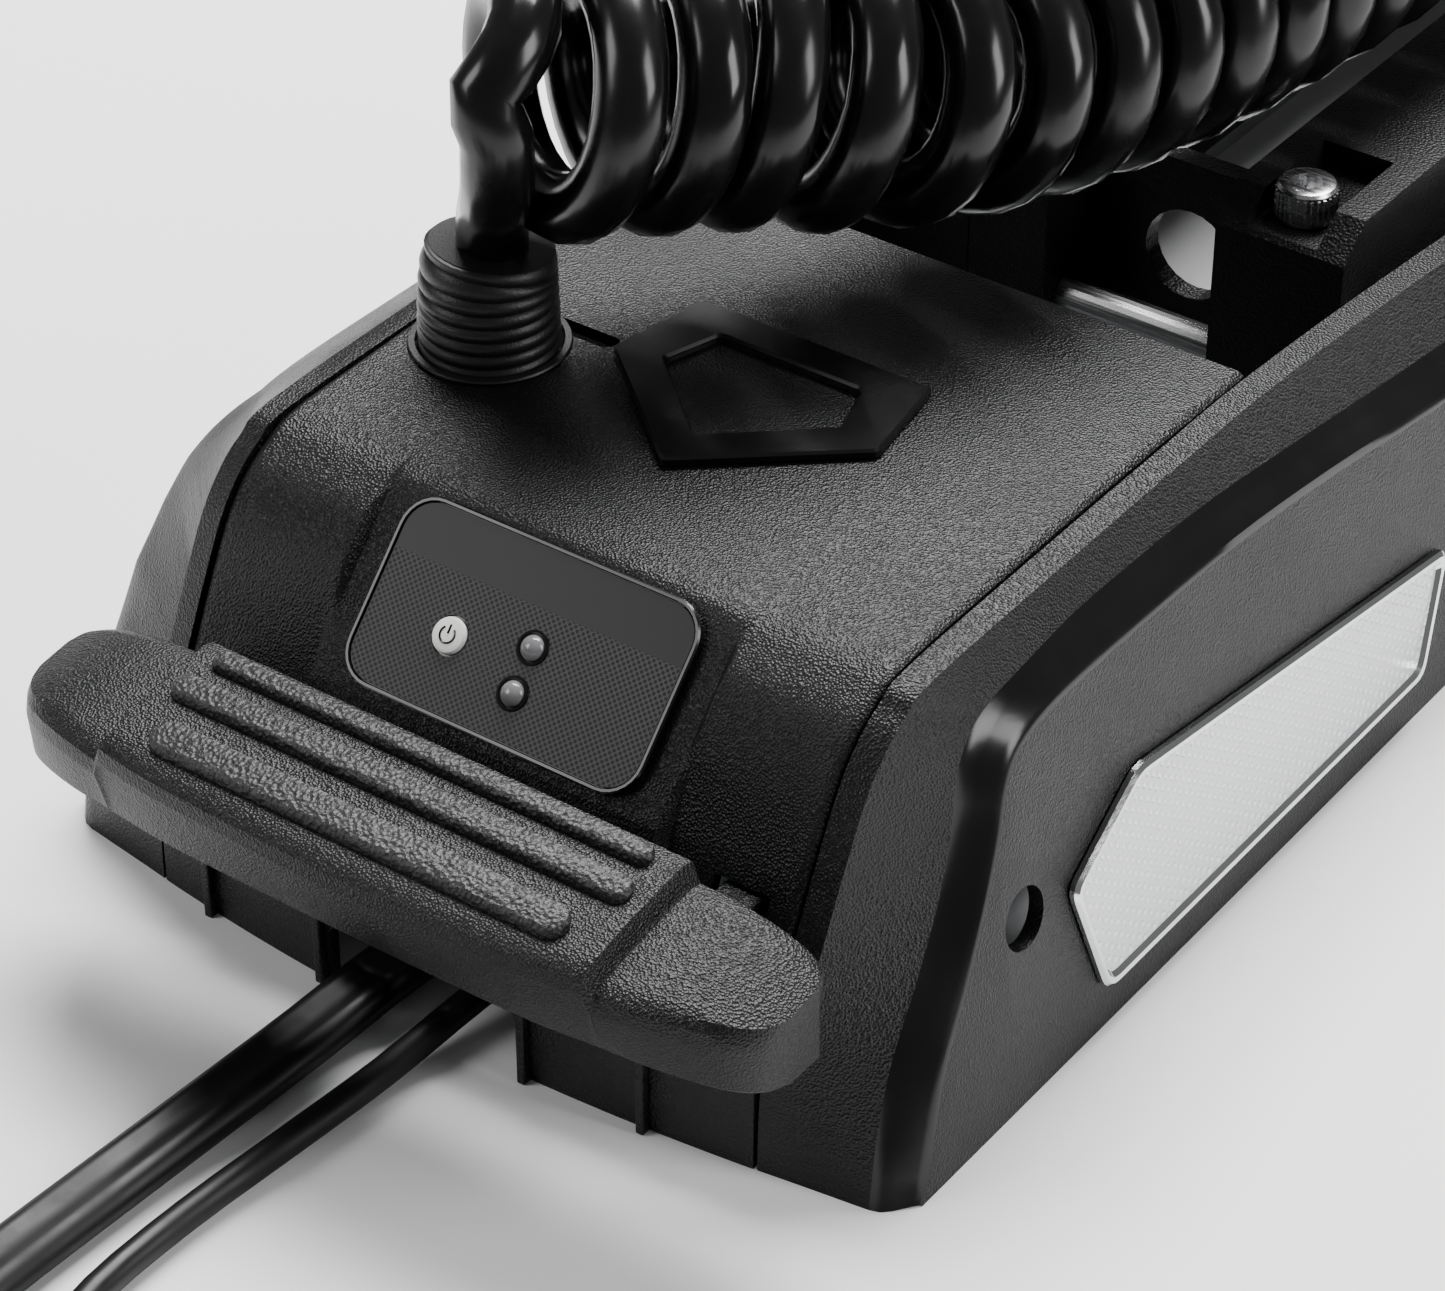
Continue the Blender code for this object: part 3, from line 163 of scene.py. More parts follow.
WRAP_TURN_RADIUS = 0.0330
WRAP_Z = (0.206, 0.334)
WRAP_TURNS = 6.4
WRAP_STEPS = 30
CONDUCTOR_RADIUS = 0.0034
NETWORK_RADIUS = 0.0030
POWER_ROUTE = [
    (-0.0045, 0.040, 0.0082), (-0.0052, 0.028, 0.0082), (-0.0068, 0.020, 0.0082),
    (-0.0125, 0.000, 0.0064), (-0.0152, -0.025, 0.0040), (-0.0166, -0.050, 0.0036),
    (-0.0178, -0.075, 0.0036), (-0.0188, -0.098, 0.0037), (-0.0190, -0.112, 0.0037),
    (-0.0178, -0.122, 0.0037),
]
NETWORK_ROUTE = [
    (0.0120, 0.040, 0.0082), (0.0080, 0.020, 0.0080), (0.0048, 0.000, 0.0062),
    (0.0024, -0.025, 0.0036), (0.0002, -0.050, 0.0032), (-0.0018, -0.075, 0.0032),
    (-0.0018, -0.098, 0.0033), (0.0018, -0.114, 0.0033), (0.0088, -0.130, 0.0033),
    (0.0165, -0.145, 0.0033),
]
POWER_COIL = {"centre": (-0.052, -0.206), "radius": 0.070, "layers": (0.0037, 0.0106, 0.0175)}
NETWORK_COIL = {"centre": (0.064, -0.152), "radii": (0.0395, 0.0330, 0.0265), "layers": (0.0033, 0.0095)}
# Each plug's middle, radius and half length, the way along Y to its lead, and how deep the lead goes in
POWER_PLUG = {"x": -0.018, "y": -0.206, "r": 0.0165, "half": 0.032, "lead": 1.0, "inside": 0.002}
NETWORK_PLUG = {"x": 0.075, "y": -0.152, "r": 0.0065, "half": 0.013, "lead": -1.0, "inside": 0.001}
PLUG_CLEARANCE = 0.0004

# The camera, and the sockets of a colour mix
CAMERA_AT = (0.4181, -0.7921, 0.5518)
CAMERA_RIGHT = Vector((0.8090, 0.5878, 0.0))
CAMERA_BACK = Vector((0.4755, -0.6545, 0.5878))
FOCAL_LENGTH_MM = 112.5
SENSOR_WIDTH_MM = 36.0
MIX_SHARE, MIX_FIRST, MIX_SECOND, MIX_RESULT = 0, 6, 7, 2


# Geometry helpers

def smooth(points, steps):
    """A smooth curve through points, as steps points for each of its spans."""
    points = [Vector(p) for p in points]
    padded = [2 * points[0] - points[1], *points, 2 * points[-1] - points[-2]]
    out = []
    for a, b, c, d in zip(padded, padded[1:], padded[2:], padded[3:]):
        for i in range(steps):
            t = i / steps
            square = (2 * a - 5 * b + 4 * c - d) * t * t
            cube = (3 * b - a - 3 * c + d) * t**3
            out.append(0.5 * (2 * b + (c - a) * t + square + cube))
    return [*out, points[-1]]


def ease(low, high, value):
    """0 below low, 1 above high, and an S curve between."""
    t = min(1.0, max(0.0, (value - low) / (high - low)))
    return t * t * (3 - 2 * t)


def bezier(start, leave, arrive, end, steps):
    """Points from start to end of a cubic curve, without its first point."""
    out = []
    for i in range(1, steps + 1):
        t = i / steps
        u = 1 - t
        out.append(u**3 * start + 3 * u * u * t * leave + 3 * u * t * t * arrive + t**3 * end)
    return out


def arc(centre, radius, start, end, steps):
    turns = [math.radians(start + (end - start) * i / steps) for i in range(steps + 1)]
    return [(centre[0] + radius * math.cos(t), centre[1] + radius * math.sin(t)) for t in turns]


def rounded(half_x, half_y, radius, centre=(0.0, 0.0), steps=5):
    """A rectangle with round corners, as an outline."""
    points = []
    for sx, sy, start in ((1, 1, 0), (-1, 1, 90), (-1, -1, 180), (1, -1, 270)):
        middle = (centre[0] + sx * (half_x - radius), centre[1] + sy * (half_y - radius))
        points += arc(middle, radius, start, start + 90, steps)
    return points


def filleted(points, radius, steps=4):
    """A closed outline with its corners rounded off."""
    out = []
    count = len(points)
    for i, at in enumerate(points):
        at = Vector(at)
        before, after = Vector(points[i - 1]), Vector(points[(i + 1) % count])
        reach = min(radius, 0.45 * (before - at).length, 0.45 * (after - at).length)
        first = at + (before - at).normalized() * reach
        last = at + (after - at).normalized() * reach
        for k in range(steps + 1):
            t = k / steps
            out.append((1 - t) ** 2 * first + 2 * t * (1 - t) * at + t * t * last)
    return out


def inset(points, by):
    """A convex outline in a plane, moved inwards by a distance."""
    middle = sum((Vector(p) for p in points), Vector((0.0, 0.0))) / len(points)
    lines = []
    for i, at in enumerate(points):
        a, b = Vector(at), Vector(points[(i + 1) % len(points)])
        ahead = (b - a).normalized()
        side = Vector((-ahead.y, ahead.x))
        if side.dot(middle - a) < 0:
            side = -side
        lines.append((a + side * by, ahead))
    out = []
    for i, (q, d) in enumerate(lines):
        p, c = lines[i - 1]
        cross = c.x * d.y - c.y * d.x
        t = ((q.x - p.x) * d.y - (q.y - p.y) * d.x) / cross
        out.append(p + c * t)
    return out


def frames(points):
    """A centreline's points with two directions square to it, carried along without twist."""
    points = [Vector(p) for p in points]
    up = Vector((0.0, 0.0, 1.0))
    out = []
    for i, at in enumerate(points):
        ahead = (points[min(i + 1, len(points) - 1)] - points[max(i - 1, 0)]).normalized()
        up = up - ahead * up.dot(ahead)
        if up.length < 1e-4:
            up = ahead.orthogonal()
        up = up.normalized()
        out.append((at, ahead.cross(up).normalized(), up))
    return out


def tube_rings(points, radius, sides=12):
    """Rings of a round bar; radius is one number or one for each point."""
    rings = []
    for i, (at, across, up) in enumerate(frames(points)):
        r = radius[i] if isinstance(radius, list) else radius
        turns = [2 * math.pi * k / sides for k in range(sides)]
        rings.append([at + r * (across * math.cos(t) + up * math.sin(t)) for t in turns])
    return rings


def finished_mesh(bm, weld=False):
    """The mesh of a bmesh with its normals outwards, and with points that coincide made one if asked."""
    if weld:
        bmesh.ops.remove_doubles(bm, verts=bm.verts, dist=0.000001)
    bmesh.ops.recalc_face_normals(bm, faces=bm.faces)
    mesh = bpy.data.meshes.new("made")
    bm.to_mesh(mesh)
    bm.free()
    return mesh


def loft_mesh(rings, bands=None, closed_ends=True, weld=False):
    """A solid through rings of equally many points. bands gives the material of each side of a ring."""
    bm = bmesh.new()
    rows = [[bm.verts.new(p) for p in ring] for ring in rings]
    count = len(rows[0])
    for low, high in zip(rows, rows[1:]):
        for i in range(count):
            j = (i + 1) % count
            face = bm.faces.new((low[i], low[j], high[j], high[i]))
            if bands:
                face.material_index = bands[i]
    if closed_ends:
        bm.faces.new(rows[0])
        bm.faces.new(rows[-1])
    return finished_mesh(bm, weld)


def spun_mesh(profile, centre, axis, steps=48, closed=False):
    """A profile of (radius, along) points turned about an axis through centre."""
    side = axis.orthogonal().normalized()
    other = axis.cross(side)
    bm = bmesh.new()
    rows = []
    for k in range(steps):
        turn = 2 * math.pi * k / steps
        out = side * math.cos(turn) + other * math.sin(turn)
        rows.append([bm.verts.new(centre + out * r + axis * h) for r, h in profile])
    last = len(profile) if closed else len(profile) - 1
    for a, b in zip(rows, rows[1:] + rows[:1]):
        for i in range(last):
            j = (i + 1) % len(profile)
            bm.faces.new((a[i], a[j], b[j], b[i]))
    return finished_mesh(bm, weld=True)


def prism_mesh(outline, low, high, axis="X"):
    """A flat outline drawn out along an axis: its points are (y, z), (x, z) or (x, y)."""
    place = {
        "X": lambda a, b, c: (c, a, b),
        "Y": lambda a, b, c: (a, c, b),
        "Z": lambda a, b, c: (a, b, c),
    }[axis]
    return loft_mesh([[place(a, b, c) for a, b in outline] for c in (low, high)])


def box_mesh(low, high):
    (x0, y0, z0), (x1, y1, z1) = low, high
    return prism_mesh([(x0, y0), (x1, y0), (x1, y1), (x0, y1)], z0, z1, "Z")


def bar_mesh(start, end, radius, sides=32):
    return loft_mesh(tube_rings([Vector(start), Vector(end)], radius, sides))


def placed(name, mesh, look, angle=35.0, bevel=0.0, lift=True):
    """An object of a mesh, with the named look unless the mesh brings looks of its own."""
    mesh.name = name
    if lift:
        mesh.transform(Matrix.Translation((0.0, REAR, 0.0)))
    item = bpy.data.objects.new(name, mesh)
    bpy.context.scene.collection.objects.link(item)
    if not mesh.materials:
        mesh.materials.append(LOOKS[look])
    mesh.shade_smooth()
    mesh.set_sharp_from_angle(angle=math.radians(angle))
    if bevel:
        round_edges(item, bevel)
    return item


def show(name, mesh, look, body="mount", slot=None, replaces=(), **shape):
    """A piece that rides on a body. The slot argument is not used."""
    slot = slot or look
    item = placed(name, mesh, look, **shape)
    if body:
        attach(item, body)
    if replaces:
        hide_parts(*replaces)
    return item


def round_edges(item, width, segments=3, angle=32.0):
    edge = item.modifiers.new("Edge", "BEVEL")
    edge.width = width
    edge.segments = segments
    edge.limit_method = "ANGLE"
    edge.angle_limit = math.radians(angle)
    edge.harden_normals = False
    edge.use_clamp_overlap = True


def cut(mesh, *cutters):
    """The mesh with other meshes cut out of it, worked out at once."""
    item = bpy.data.objects.new("blank", mesh)
    bpy.context.scene.collection.objects.link(item)
    tools = []
    for cutter in cutters:
        tool = bpy.data.objects.new("cutter", cutter)
        bpy.context.scene.collection.objects.link(tool)
        change = item.modifiers.new("Cut", "BOOLEAN")
        change.operation = "DIFFERENCE"
        change.object = tool
        tools.append(tool)
    bpy.context.view_layer.update()
    seen = item.evaluated_get(bpy.context.evaluated_depsgraph_get())
    made = bpy.data.meshes.new_from_object(seen)
    for thing in (item, *tools):
        bpy.data.objects.remove(thing)
    return made


# Materials

class Look:
    """A Principled material with helpers for its texture nodes."""

    def __init__(self, name, colour, roughness, metallic=0.0):
        self.made = bpy.data.materials.new(name)
        self.made.use_nodes = True
        self.tree = self.made.node_tree
        self.shader = self.tree.nodes["Principled BSDF"]
        self.shader.inputs["Base Color"].default_value = (*colour, 1.0)
        self.shader.inputs["Roughness"].default_value = roughness
        self.shader.inputs["Metallic"].default_value = metallic
        self.place = self.add("ShaderNodeTexCoord").outputs["Object"]

    def add(self, kind, links=(), **settings):
        made = self.tree.nodes.new(kind)
        for key, value in settings.items():
            setattr(made, key, value)
        for socket, source in dict(links).items():
            if isinstance(source, bpy.types.NodeSocket):
                self.tree.links.new(source, made.inputs[socket])
            else:
                made.inputs[socket].default_value = source
        return made

    def noise(self, scale, detail=2.0, vector=None, roughness=0.5):
        links = {"Vector": vector or self.place, "Scale": scale, "Detail": detail, "Roughness": roughness}
        return self.add("ShaderNodeTexNoise", links).outputs["Fac"]

    def cells(self, scale, vector=None, randomness=1.0, dimensions="3D"):
        links = {"Vector": vector or self.place, "Scale": scale, "Randomness": randomness}
        made = self.add("ShaderNodeTexVoronoi", links, voronoi_dimensions=dimensions)
        return made.outputs["Distance"]

    def maths(self, operation, a, b=0.0):
        return self.add("ShaderNodeMath", {0: a, 1: b}, operation=operation).outputs[0]

    def span(self, source, low, high, out_low=0.0, out_high=1.0):
        links = {"Value": source, "From Min": low, "From Max": high}
        links.update({"To Min": out_low, "To Max": out_high})
        return self.add("ShaderNodeMapRange", links).outputs["Result"]

    def vary_roughness(self, source, low, high, at=(0.3, 0.7)):
        self.tree.links.new(self.span(source, *at, low, high), self.shader.inputs["Roughness"])

    def vary_colour(self, source, first, second, at=(0.3, 0.7)):
        share = self.span(source, *at)
        links = {MIX_SHARE: share, MIX_FIRST: (*first, 1.0), MIX_SECOND: (*second, 1.0)}
        mix = self.add("ShaderNodeMix", links, data_type="RGBA")
        self.tree.links.new(mix.outputs[MIX_RESULT], self.shader.inputs["Base Color"])

    def bump(self, source, height, strength=1.0):
        links = {"Height": source, "Strength": strength, "Distance": height}
        made = self.add("ShaderNodeBump", links)
        normal = self.shader.inputs["Normal"]
        if normal.links:
            self.tree.links.new(normal.links[0].from_socket, made.inputs["Normal"])
        self.tree.links.new(made.outputs["Normal"], normal)


def grained(name, colour, roughness, pebble=1500.0, height=0.00012, shine=0.40):
    """Moulded black plastic or powder coat with a pebbled grain and faint handling marks."""
    look = Look(name, colour, roughness)
    look.shader.inputs["Specular IOR Level"].default_value = shine
    fine = look.maths("MULTIPLY", look.noise(pebble * 1.7, 3.0), 0.3)
    look.bump(look.maths("ADD", look.cells(pebble), fine), height)
    smudges = look.noise(28.0, 5.0, roughness=0.6)
    look.vary_roughness(smudges, roughness - 0.05, roughness + 0.06)
    look.vary_colour(look.noise(60.0, 4.0), colour, [1.35 * c for c in colour])
    return look.made


def glossy(name, colour, roughness, scale=35.0, metallic=0.0, shine=0.45):
    """A smooth surface whose gloss drifts a little, with a faint orange peel."""
    look = Look(name, colour, roughness, metallic)
    look.shader.inputs["Specular IOR Level"].default_value = shine
    look.vary_roughness(look.noise(scale, 4.0), roughness * 0.7, roughness * 1.4)
    look.vary_colour(look.noise(scale * 2, 3.0), colour, [1.2 * c for c in colour])
    look.bump(look.noise(260.0, 1.0), 0.00003, 0.4)
    return look.made


def metal(name, colour, roughness, along="X"):
    """Metal with fine marks drawn out along one axis."""
    look = Look(name, colour, roughness, 1.0)
    stretch = [40.0 if axis == along else 1600.0 for axis in "XYZ"]
    lines = look.add("ShaderNodeMapping", {"Vector": look.place, "Scale": stretch}).outputs["Vector"]
    marks = look.noise(1.0, 3.0, lines)
    look.vary_roughness(marks, roughness * 0.75, roughness * 1.35)
    look.vary_colour(look.noise(70.0, 3.0), colour, [0.88 * c for c in colour])
    look.bump(marks, 0.00002, 0.5)
    return look.made


def meshed_panel():
    """A dark glossy overlay, plain at its head and with a fine printed mesh below."""
    dark, light_grey = (0.004, 0.004, 0.0043), (0.045, 0.045, 0.047)
    look = Look("panel_overlay", dark, 0.4)
    tilt = math.atan2(PANEL_UP.z, PANEL_UP.y)
    to_foot = (0.0, -(PANEL_FOOT.y + REAR), -PANEL_FOOT.z)
    moved = look.add("ShaderNodeVectorMath", {0: look.place, 1: to_foot})
    flat = look.add("ShaderNodeMapping", {"Vector": moved.outputs[0], "Rotation": (-tilt, 0.0, 0.0)})
    flat = flat.outputs["Vector"]
    up = look.add("ShaderNodeSeparateXYZ", {"Vector": flat}).outputs["Y"]
    below = look.maths("LESS_THAN", up, PANEL_MESH_TOP)
    rows = look.add("ShaderNodeMapping", {"Vector": flat, "Rotation": (0.0, 0.0, math.radians(45.0))})
    dots = look.cells(1050.0, rows.outputs["Vector"], 0.0, "2D")
    printed = look.maths("MULTIPLY", look.span(dots, 0.33, 0.42), below)
    look.vary_colour(printed, dark, light_grey, (0.0, 1.0))
    look.vary_roughness(below, 0.36, 0.46, (0.0, 1.0))
    look.shader.inputs["Specular IOR Level"].default_value = 0.20
    return look.made


def dimpled_plate():
    """A pale silver nameplate with rows of small round dimples."""
    look = Look("badge_plate", (0.78, 0.79, 0.80), 0.32, 0.35)
    parts = look.add("ShaderNodeSeparateXYZ", {"Vector": look.place})
    flat = look.add("ShaderNodeCombineXYZ", {"X": parts.outputs["Y"], "Y": parts.outputs["Z"]})
    turned = {"Vector": flat.outputs[0], "Rotation": (0.0, 0.0, math.radians(35.0))}
    rows = look.add("ShaderNodeMapping", turned)
    dots = look.cells(430.0, rows.outputs["Vector"], 0.0, "2D")
    look.bump(look.span(dots, 0.18, 0.36), 0.00018)
    look.vary_colour(dots, (0.86, 0.87, 0.88), (0.66, 0.67, 0.69), (0.15, 0.42))
    return look.made


def rough_grip():
    """Coarse sandy rubber."""
    look = Look("grip_rubber", (0.006, 0.006, 0.006), 0.48)
    grit = look.maths("MULTIPLY", look.cells(1000.0), look.noise(1300.0, 2.0))
    look.bump(grit, 0.0006)
    look.vary_colour(look.noise(700.0, 2.0), (0.004, 0.004, 0.004), (0.014, 0.014, 0.014))
    return look.made


def pale_floor():
    look = Look("pale_floor", (0.93, 0.93, 0.93), 0.85)
    look.vary_colour(look.noise(3.0, 2.0), (0.92, 0.92, 0.92), (0.94, 0.94, 0.94))
    return look.made


# The looks that are called like a slot of the record dress that slot's nodes as well
LOOKS = {
    "cast_black": grained("cast_black", (0.0040, 0.0040, 0.0042), 0.44, 1500.0, 0.00020, 0.28),
    "moulded_black": grained("moulded_black", (0.0030, 0.0030, 0.0032), 0.37, 1900.0, 0.00019, 0.28),
    "gloss_black": glossy("gloss_black", (0.003, 0.003, 0.0033), 0.20, shine=0.36),
    "rubber": grained("soft_rubber", (0.005, 0.005, 0.005), 0.42, 2200.0, 0.00004, 0.30),
    "stainless": metal("stainless", (0.64, 0.64, 0.65), 0.24),
    "deck_aluminium": metal("satin_aluminium", (0.52, 0.53, 0.54), 0.42, "Y"),
    "badge_silver": metal("badge_frame", (0.78, 0.79, 0.80), 0.10, "Y"),
    "mast_composite": glossy("mast_composite", (0.009, 0.009, 0.0095), 0.34),
    "lower_unit_black": glossy("lower_unit_black", (0.014, 0.014, 0.015), 0.30, 25.0, 0.2),
    "white_mark": glossy("white_moulding", (0.80, 0.80, 0.78), 0.38),
    "lens_grey": glossy("grey_lens", (0.16, 0.16, 0.165), 0.12),
    "board_green": grained("board_green", (0.02, 0.14, 0.06), 0.45, 500.0, 0.00004),
    "bronze": metal("bronze", (0.42, 0.27, 0.12), 0.34, "Z"),
    "copper": metal("copper", (0.60, 0.28, 0.14), 0.36, "Y"),
    "ferrite": grained("ferrite", (0.08, 0.08, 0.085), 0.58, 700.0, 0.00010),
    "cable_black": glossy("coil_jacket", (0.003, 0.003, 0.003), 0.22, 60.0, shine=0.36),
    "lead_jacket": glossy("lead_jacket", (0.003, 0.003, 0.003), 0.42, 60.0, shine=0.28),
    "panel": meshed_panel(),
    "plate": dimpled_plate(),
    "grip": rough_grip(),
    "floor": pale_floor(),
}


# How far the edges of the plainly dressed pieces are eased
EASED = {
    "bow_bracket_right": 0.0012, "bow_bracket_left": 0.0012, "cross_plate": 0.0007,
    "steering_housing": 0.0020, "housing_cap": 0.0020, "control_head_base": 0.0016,
    "control_head_cover": 0.0024, "heading_indicator": 0.0005, "latch_pin": 0.0005,
    "tilt_pin": 0.0005, "base_tray": 0.0004, "prop_nut": 0.0004, "depth_collar": 0.0006,
}


def dress_frame():
    """Every CAD node takes the look of its slot, and the plain ones have their edges eased."""
    for entry in frame["record"]["subparts"]:
        item = NODES[entry["node"]]
        item.data.materials.clear()
        item.data.materials.append(LOOKS[entry["material_slot"]])
        if entry["node"] in EASED:
            round_edges(item, EASED[entry["node"]])


# The mount

def inward(line, i):
    """The unit vector, in (y, z), square to a side view's line at a point and into the mount."""
    before, after = line[max(i - 1, 0)], line[min(i + 1, len(line) - 1)]
    ahead = Vector((after[0] - before[0], after[1] - before[1])).normalized()
    return Vector((ahead.y, -ahead.x))


def on_panel(across, up, out):
    return Vector((across, 0.0, 0.0)) + PANEL_FOOT + PANEL_UP * up + PANEL_OUT * out


def centre_cover():
    """The moulded cover: its side view swells into the pod that carries the panel."""
    plain = [tuple(p) for p in smooth([(y, z, 0.0) for y, z in COVER_SIDE], 5)]
    pod = [tuple(p) for p in smooth([(y, z, 0.0) for y, z in POD_SIDE], 5)]
    edge = [(0.0, 0.0016), (0.0003, 0.0008), (0.0009, 0.0003), (0.0018, 0.0)]
    # Columns across the cover: x, how far its outside is sunk, and how thick the wall is
    half = [(-COVER_HALF_WIDTH + off, sunk, 0.0100) for off, sunk in edge]
    half += [(-0.0676, 0.0, 0.0100), (-0.0673, 0.0, 0.0025), (-0.060, 0.0, 0.0025), (-0.050, 0.0, 0.0025)]
    half += [(-0.0430 + 0.0004 * k, 0.0, 0.0025) for k in range(9)]
    half += [(-0.030, 0.0, 0.0025), (-0.015, 0.0, 0.0025)]
    columns = half + [(0.0, 0.0, 0.0025)] + [(-x, *rest) for x, *rest in reversed(half)]
    rings = []
    for x, sunk, thick in columns:
        share = 1.0 - ease(POD_HALF_WIDTH - 0.0012, POD_HALF_WIDTH + 0.0012, abs(x))
        outside = []
        for (y, z, _), (pod_y, pod_z, _) in zip(plain, pod):
            outside.append((y + (pod_y - y) * share, z + (pod_z - z) * share))
        outer, inner = [], []
        for i, (y, z) in enumerate(outside):
            into = sunk * inward(outside, i)
            outer.append((x, y + into.x, z + into.y))
        for i, (y, z, _) in enumerate(plain):
            into = thick * inward(plain, i)
            inner.append((x, y + into.x, z + into.y))
        rings.append(outer + inner[::-1])
    x, y, _ = BOOT_ROUTE[0]
    cutters = [bar_mesh((x, y, 0.06), (x, y, 0.12), BOOT_RADIUS + 0.0016, 40)]
    slit = [(x, y + 0.0152), (x + 0.021, y + 0.0152), (x + 0.0200, y + 0.0108), (x, y + 0.0108)]
    cutters.append(prism_mesh(filleted(slit, 0.002), 0.06, 0.12, "Z"))
    u, v = BUTTON_AT
    cutters.append(bar_mesh(on_panel(u, v, -0.02), on_panel(u, v, 0.01), 0.0045))
    for side in (-1, 1):
        middle = side * PEDAL_ARM_X
        cutters.append(box_mesh((middle - 0.006, -0.02, 0.015), (middle + 0.006, 0.020, 0.0508)))
    mesh = cut(loft_mesh(rings), *cutters)
    show("centre_cover_skin", mesh, "moulded_black", replaces=["centre_cover"], angle=28)


def leaning(side, x_at_deck, z):
    return x_at_deck - SIDE_DRAFT[side] * z


def flared(side, station):
    """How far out and back a plate's outer rails lie at a station, which may be between two."""
    last = len(LEFT_FLARE) - 1
    if side > 0 or station >= last + 1:
        return 0.0, 0.0
    low = min(int(station), last)
    first = LEFT_FLARE[low]
    second = LEFT_FLARE[low + 1] if low < last else (0.0, 0.0)
    share = station - low
    return tuple(a + (b - a) * share for a, b in zip(first, second))


def eased_corner(before, at, after, radius):
    """Three points that round off a corner of a section."""
    first = at + (before - at).normalized() * min(radius, 0.4 * (before - at).length)
    last = at + (after - at).normalized() * min(radius, 0.4 * (after - at).length)
    return [first, 0.25 * first + 0.5 * at + 0.25 * last, last]


def side_plate(side, name):
    """A grained shell; the right one has a glossy band between its top and its side."""
    rails = []
    for rail in (RAIL_INNER, RAIL_CHAMFER, RAIL_OUTER):
        line = smooth([(y, z, 0.0) for y, z in rail], RAIL_STEPS)
        rails.append([(p.x, max(p.y, 0.0)) for p in line])
    low_rail, mid_rail, out_rail = rails
    rings = []
    for i, ((ya, za), (yc, zc), (yd, zd)) in enumerate(zip(*rails)):
        low, mid = WALL * inward(low_rail, i), WALL * inward(mid_rail, i)
        out = 0.7 * WALL * inward(out_rail, i)
        zd = max(zd, 0.0005)
        flare, swept = flared(side, i / RAIL_STEPS)
        xc = leaning(side, CHAMFER_INNER_X, zc) + flare
        xd = leaning(side, DECK_HALF_WIDTH, zd) + flare
        yc, yd = yc - swept, yd - swept
        yb, zb = ya + CREASE_BACK, max(0.0, za - CREASE_BACK)
        a, b = Vector((PLATE_INNER_X, ya, za)), Vector((PLATE_CREASE_X, yb, zb))
        c, d = Vector((xc, yc, zc)), Vector((xd, yd, zd))
        e = Vector((DECK_HALF_WIDTH, yd, 0.0))
        section = [a, b, *eased_corner(b, c, d, 0.0022), *eased_corner(c, d, e, 0.0018), e]
        section += [
            Vector((DECK_HALF_WIDTH - WALL, yd + out.x, 0.0)),
            Vector((xd - WALL, yd + out.x, max(0.0004, zd + out.y))),
            Vector((xc - 0.6 * WALL, yc + mid.x, zc + mid.y)),
            Vector((PLATE_CREASE_X, yb + low.x, zb + low.y)),
            Vector((PLATE_INNER_X, ya + low.x, za + low.y)),
        ]
        rings.append([(side * p.x, p.y, max(p.z, 0.0)) for p in section])
    bands = [0, 0, 1, 1, 1, 1, 1, 0, 0, 0, 0, 0, 0, 0] if side > 0 else None
    y, z = ACCESS_HOLE
    hole = bar_mesh((side * 0.08, y, z), (side * 0.11, y, z), ACCESS_HOLE_RADIUS, 40)
    mesh = loft_mesh(rings, bands)
    mesh.materials.append(LOOKS["moulded_black"])
    mesh.materials.append(LOOKS["gloss_black"])
    mesh = cut(mesh, hole)
    show(f"{name}_skin", mesh, "moulded_black", replaces=[name], angle=26)


def badge(side, name):
    """A bright bevelled frame round a dimpled plate, without lettering."""
    def ring(by, stand, radius=0.0030):
        corners = [(y, z, 0.0) for y, z in inset(BADGE, by)]
        outline = filleted(corners, radius)
        return [(side * (leaning(side, DECK_HALF_WIDTH, p.y) + stand), p.x, p.y) for p in outline]

    steps = [(0.0, 0.0004), (0.0, 0.0014), (0.0006, 0.0022)]
    steps += [(0.0015, 0.0021), (0.0021, 0.0011), (0.0021, 0.0004)]
    rings = [ring(*step) for step in steps]
    mesh = loft_mesh(rings + rings[:1], closed_ends=False, weld=True)
    show(f"{name}_frame", mesh, "badge_silver", replaces=[name], angle=20)
    plate = loft_mesh([ring(*step) for step in ((0.0022, 0.0004), (0.0022, 0.0012), (0.0025, 0.0013))])
    show(f"{name}_plate", plate, "plate", slot="badge_silver")


